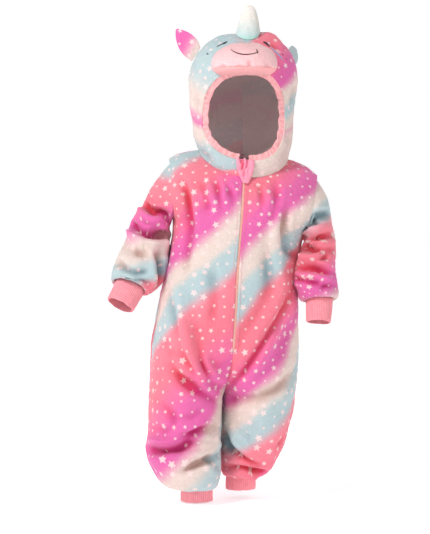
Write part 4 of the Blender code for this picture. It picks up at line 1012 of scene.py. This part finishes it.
def thread(name, colour, light):
    """Satin stitches: fine glossy threads laid side by side across the line, each lighter along its crest in
    a painted highlight.
    """
    n = Nodes(name, 0.42, sheen=0.1)
    n.shader.inputs["Specular IOR Level"].default_value = 0.5
    place = n.flat_place()
    along = n.math("MULTIPLY", n.split(place)[0], 2 * math.pi / (STRAND * MM))
    strands = n.math("MULTIPLY_ADD", n.math("SINE", along), 0.5, 0.5)
    uneven = n.noise(place, 900.0, 2.0)
    # Painted highlight: each strand is turned towards the lighter colour along its crest
    base = n.mix(n.math("MULTIPLY", n.math("MULTIPLY", strands, uneven), 0.7), colour, light)
    return n.finish(base, n.bump(strands, 0.00025))


def make_materials():
    # The second colour given to each knit and velour is its painted shade
    salmon, shade_colour = linear(255, 166, 176), linear(232, 104, 124)
    warm = (1, 0.9, 0.9, 1)
    return {
        "plush": plush("printed_fleece"),
        "reverse": plush("fleece_reverse", wash=0.72),
        "rib": knit("rib_knit_cloth", salmon, shade_colour, 1.5, 1.5, 0.0003),
        "facing": knit("facing_jersey", linear(253, 186, 188), linear(242, 138, 144), 1.1, 1.3, 0.0003),
        "muzzle": plain_plush("muzzle_velour", linear(250, 200, 202), warm, linear(232, 140, 146)),
        "lip": plain_plush("lip_velour", linear(250, 178, 178), warm, linear(232, 120, 126)),
        "tab": plain_plush("tab_velour", linear(252, 158, 182), (1, 0.9, 0.93, 1), linear(232, 62, 118)),
        "horn": horn_plush(),
        "tape": knit("zip_tape", linear(238, 170, 158), linear(200, 110, 100), 0.9, 0.9, 0.0002),
        # The second colour of each thread is its painted highlight
        "coil": thread("zip_coil", linear(240, 196, 178), linear(250, 225, 210)),
        "smile": thread("dark_thread", linear(74, 26, 34), linear(120, 62, 68)),
        "eye": thread("black_thread", linear(26, 22, 30), linear(80, 76, 90)),
        "blue": thread("blue_thread", linear(132, 176, 212), linear(190, 214, 234)),
        "topstitch": thread("pink_thread", linear(248, 150, 170), linear(255, 200, 210)),
    }


MATERIALS = make_materials()


# Building the pieces


def body_centre(at):
    """A point inside the body or leg, level with the given one."""
    drop = -at.z / MM
    middle = BODY_LEAN * float(rise(0, CROTCH_DROP, drop))
    if drop >= CROTCH_DROP:
        middle += math.copysign(LEG_OFFSET, at.x / MM - middle)
    return Vector((middle * MM, 0, at.z))


def hood_centre(_):
    return Vector(HOOD_MIDDLE) * MM


def sleeve_centre(side):
    """A function that gives the point of the sleeve's axis nearest to the given one."""
    a, b = (np.array(e, float) for e in SLEEVE_AXES[side])
    d = b - a

    def centre(at):
        t = np.clip((np.array(at) / MM - a) @ d / (d @ d), 0, 1)
        return Vector((a + d * t) * MM)

    return centre


def tube_centre(node):
    lo, hi = (Vector(c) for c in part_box(node))
    return lambda at: (lo + hi) / 2


def cut_open(bm):
    """Marks the seam along a sleeve's underside, where its cloth is cut to lie flat."""
    joined = {}
    ends = []
    for e in bm.edges:
        kinds = {f.material_index for f in e.link_faces}
        if 0 in kinds:
            if kinds == {0}:
                a, b = e.verts
                middle = (a.co + b.co) / 2
                normal = (a.normal + b.normal).normalized()
                away = math.copysign(1, middle.x) * normal.x
                seen = CUT_OFF_OUTSIDE * max(away, 0) + CUT_OFF_FRONT * max(-normal.y, 0)
                cost = e.calc_length() * (1 + seen)
                joined.setdefault(a, []).append((b, cost, e))
                joined.setdefault(b, []).append((a, cost, e))
            else:
                ends += list(e.verts)
    middle_z = sum(v.co.z for v in ends) / len(ends)
    tops = [v for v in ends if v.co.z > middle_z]
    feet = {v for v in ends if v.co.z <= middle_z}
    start = min(tops, key=lambda v: v.co.z)
    cost_to, came, waiting = {start: 0.0}, {}, [(0.0, 0, start)]
    number = 0
    while waiting:
        cost, _, v = heapq.heappop(waiting)
        if v in feet:
            while v is not start:
                v, e = came[v]
                e.seam = True
            return
        if cost > cost_to[v]:
            continue
        for other, step, e in joined.get(v, []):
            if cost + step < cost_to.get(other, 1e9):
                cost_to[other] = cost + step
                came[other] = (v, e)
                number += 1
                heapq.heappush(waiting, (cost + step, number, other))


def shell(node, centre_of, levels, view=None, growth=RIM_GROWTH, tube=False):
    """The node's wall as a fine piece of cloth that stands for it, laid flat as seen from a view if given."""
    bm = solid_of(node)
    sheets_of(bm, centre_of)
    join_pairs(bm)
    mark_rims(bm, growth)
    if tube:
        cut_open(bm)
    piece = made_from(bm, node)
    if view:
        unwrap(piece)
        lay_print(piece, seen_from(view))
    return finished(piece, node, levels)


def form(node):
    """The node's stuffed form as a fine piece that stands for it."""
    bm = solid_of(node)
    join_pairs(bm)
    mark_turns(bm)
    return finished(made_from(bm, node), node, FINE)


def made_from(bm, node):
    mesh = bpy.data.meshes.new(node + "_cloth")
    bm.to_mesh(mesh)
    bm.free()
    return new_object(node + "_cloth", mesh)


def finished(piece, node, levels):
    subdivided(piece, levels)
    piece.data.shade_smooth()
    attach(piece, "root")
    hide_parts(node)
    return piece


def dress(piece, outer, inner):
    sheet = face_sheets(piece.data)
    piece.data.materials.clear()
    for look in (outer, inner, outer):
        piece.data.materials.append(MATERIALS[look])
    piece.data.polygons.foreach_set("material_index", sheet)


def tube_place(mesh, start, axis, radius):
    """The place on a tube's flat cloth: around it and down along it, joined up again at its back."""
    points = points_of(mesh)
    axis = unit(axis)
    across = unit(np.cross((0, 1, 0), axis))
    front = np.cross(axis, across)
    d = points - np.array(start)
    along = d @ axis
    angle = np.arctan2(d @ across, -(d @ front))
    return np.stack([angle * radius, -along], axis=-1), 2 * math.pi * radius


def store_tube(mesh, place, around):
    """Stores places on a tube, with those of a face kept together where it crosses the join."""
    if "cloth" not in mesh.uv_layers:
        mesh.uv_layers.new(name="cloth")
    uv = place[corner_points(mesh)]
    starts = values(mesh.polygons, "loop_start", kind=np.int32)
    first = np.repeat(uv[starts, 0], face_sizes(mesh))
    uv[:, 0] -= around * np.round((uv[:, 0] - first) / around)
    lay_corners(mesh, uv)


def lean_on_sleeves(mesh):
    """Lets the body's sides swell a little towards the sleeves, below the armholes."""
    points = points_of(mesh)
    level = between(SIDE_LEVELS, -points[:, 2])
    across = points[:, 0] - np.interp(-points[:, 2], [0, 300], [0, -30])
    points[:, 0] += np.sign(across) * SIDE_SWELL * level * rise(40, 90, np.abs(across))
    set_points(mesh, points)


def lean_on_body(mesh, side):
    """Lets the sleeve's inner side swell towards the body, between its armhole and its cuff."""
    points = points_of(mesh)
    (top_x, _, top_z), (foot_x, _, foot_z) = SLEEVE_AXES[side]
    axis = np.interp(-points[:, 2], [-top_z, -foot_z], [top_x, foot_x])
    inward = (axis - points[:, 0]) * SIDES[side]
    level = between(SLEEVE_LEVELS, -points[:, 2])
    points[:, 0] -= SIDES[side] * SLEEVE_SWELL[side] * level * rise(0, 24, inward)
    set_points(mesh, points)


def meet_at_inseam(mesh):
    """Swells the inner sides of the legs until they touch, as the hanging cloth does."""
    points, normals, partner = wall(mesh)
    lean = np.interp(-points[:, 2], INSEAM_LEVELS, INSEAM_LEAN)
    toward = -np.sign(points[:, 0] + lean) * normals[:, 0]
    share = rise(0.35, 0.85, toward) * rise(*INSEAM_TOP, -points[:, 2]) * rise(*INSEAM_FOOT, points[:, 2])
    near = 1 - rise(10, 30, np.abs(points[:, 0] + lean))
    moved = normals * (INSEAM_SWELL * share * near)[:, None]
    set_points(mesh, points + moved[partner])


def body_panels():
    for end, levels in (("front", FINE), ("back", BACK_FINE)):
        for side in SIDES:
            node = f"{end}_{side}"
            piece = shell(node, body_centre, levels, end, BODY_GROWTH)
            store(piece.data, "bands", bands_at(PRINTS[node], *flat_places(piece.data).T))
            creased(piece.data, FRONT_CREASES, BACK_CREASES)
            meet_at_inseam(piece.data)
            lean_on_sleeves(piece.data)
            dress(piece, "plush", "reverse")


def hood_halves():
    for side in SIDES:
        node = "hood_" + side
        piece = shell(node, hood_centre, FINE, side, HOOD_GROWTH)
        band = bands_at(PRINTS[node], *flat_places(piece.data).T)
        far = np.linalg.norm(points_of(piece.data) - np.array(CROWN_PATCH, float), axis=1)
        band += (CROWN_PATCH_BAND - band) * np.exp(-((far / CROWN_PATCH_RADIUS) ** 2))
        store(piece.data, "bands", band)
        creased(piece.data, HOOD_CREASES, HOOD_BACK_CREASES, SWELLS)
        dress(piece, "plush", "reverse")


def sleeves():
    for side in SIDES:
        node = "sleeve_" + side
        piece = shell(node, sleeve_centre(side), FINE, "front", SLEEVE_GROWTH, tube=True)
        points = points_of(piece.data)
        across, up = as_seen(points).T
        store(piece.data, "bands", bands_at(PRINTS[node], across, up - SLEEVE_BAND_SINK * points[:, 1]))
        creased(piece.data, SLEEVE_FRONT, SLEEVE_BACK)
        lean_on_body(piece.data, side)
        dress(piece, "plush", "reverse")


def cuffs():
    """Rib cuffs with real ribs: more columns around, then each point moved by its rib and a soft ruck."""
    for node, axis in CUFF_AXES.items():
        piece = shell(node, tube_centre(node), CUFF_FINE)
        axis = unit(axis)
        bm = bmesh.new()
        bm.from_mesh(piece.data)
        way = Vector(axis)
        lo, hi = (Vector(c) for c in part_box(node))
        middle = (lo + hi) / 2
        around = []
        for e in bm.edges:
            a, b = (v.co - middle for v in e.verts)
            radial = a - way * a.dot(way)
            ring = way.cross(radial).normalized()
            if abs((a - b).normalized().dot(ring)) > 0.7:
                around.append(e)
        bmesh.ops.subdivide_edges(bm, edges=around, cuts=3 if FINE > 2 else 1, use_grid_fill=True)
        bm.to_mesh(piece.data)
        bm.free()
        place, length = tube_place(piece.data, np.array(middle) / MM, axis, CUFF_RADIUS)
        store_tube(piece.data, place, length)
        points, normals, partner = wall(piece.data)
        rib = np.cos(place[:, 0] / CUFF_RADIUS * RIBS)
        ruck = 0.5 * waves(points, 14, 61) + 0.25 * waves(points, 6, 62)
        set_points(piece.data, points + normals[partner] * (RIB_HEIGHT * rib + ruck)[:, None])
        # Painted shade in the hollows between the ribs
        store(piece.data, "painted_shade", np.clip(-rib * KNIT_SHADE_SHARE, 0, 1))
        piece.data.shade_smooth()
        dress(piece, "rib", "rib")


def facing():
    """The knit band inside the face opening, drawn up into small uneven gathers."""
    piece = shell("hood_facing", hood_centre, FINE, "front")
    points, normals, partner = wall(piece.data)
    lo, hi = (np.array(c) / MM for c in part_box("hood_facing"))
    mid = (lo + hi) / 2
    angle = np.arctan2(points[:, 2] - mid[2], points[:, 0] - mid[0])
    turn = angle * FACING_RUCKS + 3.4 * waves(points, 46, 71) + 1.6 * waves(points, 17, 75)
    strong = 0.55 + 0.45 * waves(points, 30, 74)
    height = FACING_RUCK_HEIGHT * strong * np.cos(turn) + 0.4 * waves(points, 9, 72)
    set_points(piece.data, points + normals[partner] * height[:, None])
    # Painted shade in the hollows of the gathers
    store(piece.data, "painted_shade", np.clip(-KNIT_SHADE_SHARE * height / FACING_RUCK_HEIGHT, 0, 1))
    dress(piece, "facing", "facing")


def folded_over(piece, creases, shape=None):
    """Gives a stuffed or folded piece its own creases, each point along its own normal."""
    mesh = piece.data
    points = points_of(mesh)
    normals = values(mesh.vertices, "normal", 3)
    height = np.zeros(len(points))
    facing_us = rise(0.0, 0.4, -normals[:, 1])
    for number, crease in enumerate(creases):
        height += crease_height(*as_seen(points).T, crease, 90 + number) * facing_us
    for number, nap in enumerate(STUFFED_SOFTNESS):
        height += nap.height * waves(points, nap.length, 500 + number)
    moved = points + normals * height[:, None]
    if shape:
        moved = shape(moved)
    set_points(mesh, moved)
    # Painted shade: each crease's depth is kept for the material, which darkens the colour there
    store(mesh, "painted_shade", np.clip(-height / STUFFED_FULL_SHADE_DEPTH, 0, 1))


def muzzle_shape(points):
    """Draws the muzzle in towards its top."""
    shaped = points.copy()
    draw = MUZZLE_DRAW * rise(188, 224, points[:, 2])
    shaped[:, 0] = MUZZLE_MIDDLE + (points[:, 0] - MUZZLE_MIDDLE) * (1 - draw)
    return shaped


def lip_shape(points):
    """Lifts the lip against the muzzle."""
    return points + np.array([0, 0, LIP_LIFT])


SHAPES = {"muzzle": muzzle_shape, "muzzle_lip": lip_shape}


def stuffed():
    """The stuffed pieces: muzzle, its lip, horn, ears and the folded tab."""
    for node, look, slot, fill, creases in (
        ("muzzle", "muzzle", "muzzle_plush", 0.8, MUZZLE_CREASES),
        ("muzzle_lip", "lip", "muzzle_plush", 0.8, LIP_CREASES),
        ("horn", "horn", "horn_cloth", 0.8, HORN_CREASES),
        ("ear_right", "plush", "plush", 0.3, []),
        ("ear_left", "plush", "plush", 0.3, []),
        ("chin_tab", "tab", "plush", 0.2, TAB_CREASES),
    ):
        piece = form(node)
        folded_over(piece, creases, SHAPES.get(node))
        if look == "plush":
            points = points_of(piece.data)
            piece.data.uv_layers.new(name="cloth")
            store_place(piece.data, points[:, [0, 2]] + EAR_PLACE[node])
            band = EAR_BANDS[node]
            store(piece.data, "bands", np.interp(points @ unit(band.way), *zip(*band.knots)))
        piece.data.materials.clear()
        piece.data.materials.append(MATERIALS[look])


# Sewing and embroidery


def surface_of(*nodes):
    """The surfaces of the cloth of some nodes, to lay thread on."""
    bm = bmesh.new()
    for node in nodes:
        bm.from_mesh(bpy.data.objects[node + "_cloth"].data)
    tree = BVHTree.FromBMesh(bm)
    bm.free()
    return tree


def laid(tree, x, z):
    """Where the cloth lies at (x, z) as seen from the front, and its normal, in millimetres."""
    eye = Vector(camera_place())
    place, normal, _, _ = tree.ray_cast(eye * MM, (Vector((x, 0, z)) - eye).normalized())
    if place is None:
        return None, None
    return np.array(place) / MM, np.array(normal if normal.y < 0 else -normal)


def mesh_of(name, points, faces, uv):
    """An object from points in millimetres, with a place on the cloth for each point."""
    mesh = bpy.data.meshes.new(name)
    mesh.from_pydata([tuple(p) for p in np.asarray(points) * MM], [], faces)
    mesh.validate()
    mesh.uv_layers.new(name="cloth")
    store_place(mesh, np.asarray(uv, float))
    mesh.shade_smooth()
    made = new_object(name, mesh)
    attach(made, "root")
    return made


def tube_faces(start, rings, sides):
    """The faces of a closed tube whose rings of points begin at start, with both its ends."""
    faces = []
    for i in range(rings - 1):
        for k in range(sides):
            a, b = start + i * sides + k, start + i * sides + (k + 1) % sides
            faces.append((a, a + sides, b + sides, b))
    faces.append([start + k for k in range(sides)])
    faces.append([start + (rings - 1) * sides + k for k in range(sides)][::-1])
    return faces


def satin(name, tree, lines, look, thin=1):
    """Embroidered lines: a domed closed strip along each, wide in the middle and narrow at its ends."""
    points, faces, uv = [], [], []
    section = 8
    for line, width in lines:
        rows = []
        run = 0.0
        last = None
        for x, z in smooth_line(line)[::thin]:
            place, normal = laid(tree, x, z)
            if place is None:
                continue
            run += 0 if last is None else float(np.linalg.norm(place - last))
            last = place
            rows.append((place, normal, run))
        count = len(rows)
        base = len(points)
        for i, (place, normal, at) in enumerate(rows):
            ahead, behind = rows[min(i + 1, count - 1)][0], rows[max(i - 1, 0)][0]
            side = unit(np.cross(ahead - behind, normal))
            taper = math.sin(math.pi * (0.08 + 0.84 * i / max(count - 1, 1))) ** 0.5
            half = width / 2 * taper
            for k in range(section):
                a = 2 * math.pi * k / section
                out = SATIN_HEIGHT * math.sin(a) + SATIN_OUT
                points.append(place + side * half * math.cos(a) + normal * out)
                uv.append((at, half * math.cos(a)))
        faces += tube_faces(base, count, section)
    made = mesh_of(name, points, faces, uv)
    bm = bmesh.new()
    bm.from_mesh(made.data)
    bmesh.ops.recalc_face_normals(bm, faces=bm.faces)
    bm.to_mesh(made.data)
    bm.free()
    made.data.materials.append(MATERIALS[look])


def dashes(line, length, gap):
    """A long line as the short straight runs of its stitches."""
    way = smooth_line(line)
    step = np.linalg.norm(np.diff(way, axis=0), axis=1)
    run = np.concatenate([[0], np.cumsum(step)])
    out = []
    at = 0.0
    while at + length < run[-1]:
        stitch = (at, at + length / 2, at + length)
        out.append([tuple(np.interp(s, run, way[:, k]) for k in range(2)) for s in stitch])
        at += length + gap
    return out


def embroidery():
    face = surface_of("muzzle", "hood_left", "hood_right")
    satin("smile", face, [(line, SMILE_WIDTH) for line in SMILE], "smile")
    satin("eyes", face, EYE_LINES, "eye")
    satin("eye_shine", face, BLUE_LINES, "blue")


def zip_sections(step):
    """The strip's middle and front, level by level down the zip."""
    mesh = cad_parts["zip"].data
    points = points_of(mesh)
    edges = np.array([e.vertices[:] for e in mesh.edges])
    a, b = points[edges[:, 0]], points[edges[:, 1]]
    rows = []
    for z in np.arange(points[:, 2].max() - 0.4, points[:, 2].min() + 0.4, -step):
        over = (a[:, 2] - z) * (b[:, 2] - z) < 0
        t = (a[over, 2] - z) / (a[over, 2] - b[over, 2])
        cut = a[over] + (b[over] - a[over]) * t[:, None]
        rows.append(((cut[:, 0].min() + cut[:, 0].max()) / 2, cut[:, 1].min(), z, np.ptp(cut[:, 0]) / 2))
    return np.array(rows)


def zip_fastener():
    """The closed zip: a woven tape between the fronts and the nylon coil's teeth down its middle."""
    rows = zip_sections(1.0)
    points, uv = [], []
    across = [(-1, 0.9), (-0.62, 0.0), (-0.3, 0.1), (0.3, 0.1), (0.62, 0.0), (1, 0.9)]
    for x, y, z, half in rows:
        for share, back in across:
            points.append((x + half * share, y + back * 0.5, z))
            uv.append((half * share, -z))
        for share, back in across[::-1]:
            points.append((x + half * share, y + TAPE_THICKNESS + back * 0.2, z))
            uv.append((half * share, -z))
    tape = mesh_of("zip_tape", points, tube_faces(0, len(rows), len(across) * 2), uv)
    tape.data.materials.append(MATERIALS["tape"])
    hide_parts("zip")

    points, faces, uv = [], [], []
    sides, rings = 6, 5
    for number, (x, y, z, _) in enumerate(zip_sections(TOOTH_STEP)[2:-3]):
        base = len(points)
        way = 1 if number % 2 else -1
        for i in range(rings):
            t = i / (rings - 1) * 2 - 1
            thick = TOOTH_HALF * math.sqrt(max(1 - t**4, 0.12))
            for k in range(sides):
                a = 2 * math.pi * k / sides
                along = x + 0.45 * way + TOOTH_REACH * t
                out = y - 0.05 + thick * math.cos(a) * 1.2
                points.append((along, out, z + 0.35 * way * t * 0.5 + thick * math.sin(a) * 0.8))
                uv.append((z, TOOTH_REACH * t))
        faces += tube_faces(base, rings, sides)
    coil = mesh_of("zip_coil", points, faces, uv)
    coil.data.materials.append(MATERIALS["coil"])


def topstitching():
    """The rows of stitches that hold the zip between the fronts."""
    fronts = surface_of("front_left", "front_right")
    middle = zip_sections(6.0)
    lines = []
    for side in (-1, 1):
        inside = middle[middle[:, 2] < STITCHES_BELOW]
        line = as_seen(inside[:, :3] + (side * ZIP_STITCH, 0, 0))
        lines += [(dash, STITCH_WIDTH) for dash in dashes(line, STITCH_LENGTH, STITCH_GAP)]
    satin("zip_topstitch", fronts, lines, "topstitch", thin=3)
    x, z = as_seen(zip_sections(1.0)[-1:, :3])[0]
    tack = [(x - BAR_TACK / 2, z - 1), (x, z - 1), (x + BAR_TACK / 2, z - 1)]
    satin("zip_bar_tack", fronts, [(tack, BAR_TACK_WIDTH)], "topstitch")


# Floor, light and camera


def studio():
    """A pale floor that curves up into a wall all round, and the lamps, which look at the garment."""
    lo, _ = CAD_BOX
    floor_z = lo.z - FLOOR_DROP
    profile = [(0.0, 0.0), (FLOOR_FLAT, 0.0)]
    for i in range(1, FLOOR_STEPS + 1):
        a = math.pi / 2 * i / FLOOR_STEPS
        out = FLOOR_FLAT + (FLOOR_WALL - FLOOR_FLAT) * math.sin(a)
        profile.append((out, FLOOR_HEIGHT * (1 - math.cos(a))))
    points, faces = [], []
    for r, h in profile:
        for k in range(FLOOR_SIDES):
            a = 2 * math.pi * k / FLOOR_SIDES
            points.append((r * math.cos(a), r * math.sin(a), floor_z + h))
    for i in range(len(profile) - 1):
        for k in range(FLOOR_SIDES):
            a, b = i * FLOOR_SIDES + k, i * FLOOR_SIDES + (k + 1) % FLOOR_SIDES
            faces.append((a, b, b + FLOOR_SIDES, a + FLOOR_SIDES))
    mesh = bpy.data.meshes.new("floor")
    mesh.from_pydata(points, [], faces)
    mesh.shade_smooth()
    floor = new_object("floor", mesh)
    n = Nodes("pale_floor", 0.9)
    n.shader.inputs["Emission Color"].default_value = (1, 1, 1, 1)
    n.shader.inputs["Emission Strength"].default_value = FLOOR_GLOW
    floor.data.materials.append(n.finish((0.84, 0.84, 0.85, 1)))

    world = bpy.data.worlds.new("studio")
    bpy.context.scene.world = world
    world.use_nodes = True
    sky = world.node_tree.nodes["Background"].inputs
    sky[0].default_value = (1, 1, 1, 1)
    sky[1].default_value = SKY_LIGHT
    for lamp in LAMPS:
        data = bpy.data.lights.new(lamp.name, "AREA")
        data.energy, data.size = lamp.power, lamp.size
        made = new_object(lamp.name, data)
        made.location = lamp.place
        made.rotation_euler = (VIEW_CENTRE - made.location).to_track_quat("-Z", "Y").to_euler()


def camera():
    """The camera, which sees the garment as in the photograph."""
    data = bpy.data.cameras.new("camera")
    data.sensor_width = SENSOR
    data.lens = SENSOR / VIEW_HEIGHT * CAMERA_DISTANCE
    made = new_object("camera", data)
    made.location = camera_place() * MM
    made.rotation_euler = (VIEW_CENTRE - made.location).to_track_quat("-Z", "Y").to_euler()
    bpy.context.scene.camera = made
    bpy.context.scene.view_settings.view_transform = "Standard"


studio()
camera()
body_panels()
hood_halves()
sleeves()
cuffs()
facing()
stuffed()
embroidery()
zip_fastener()
topstitching()
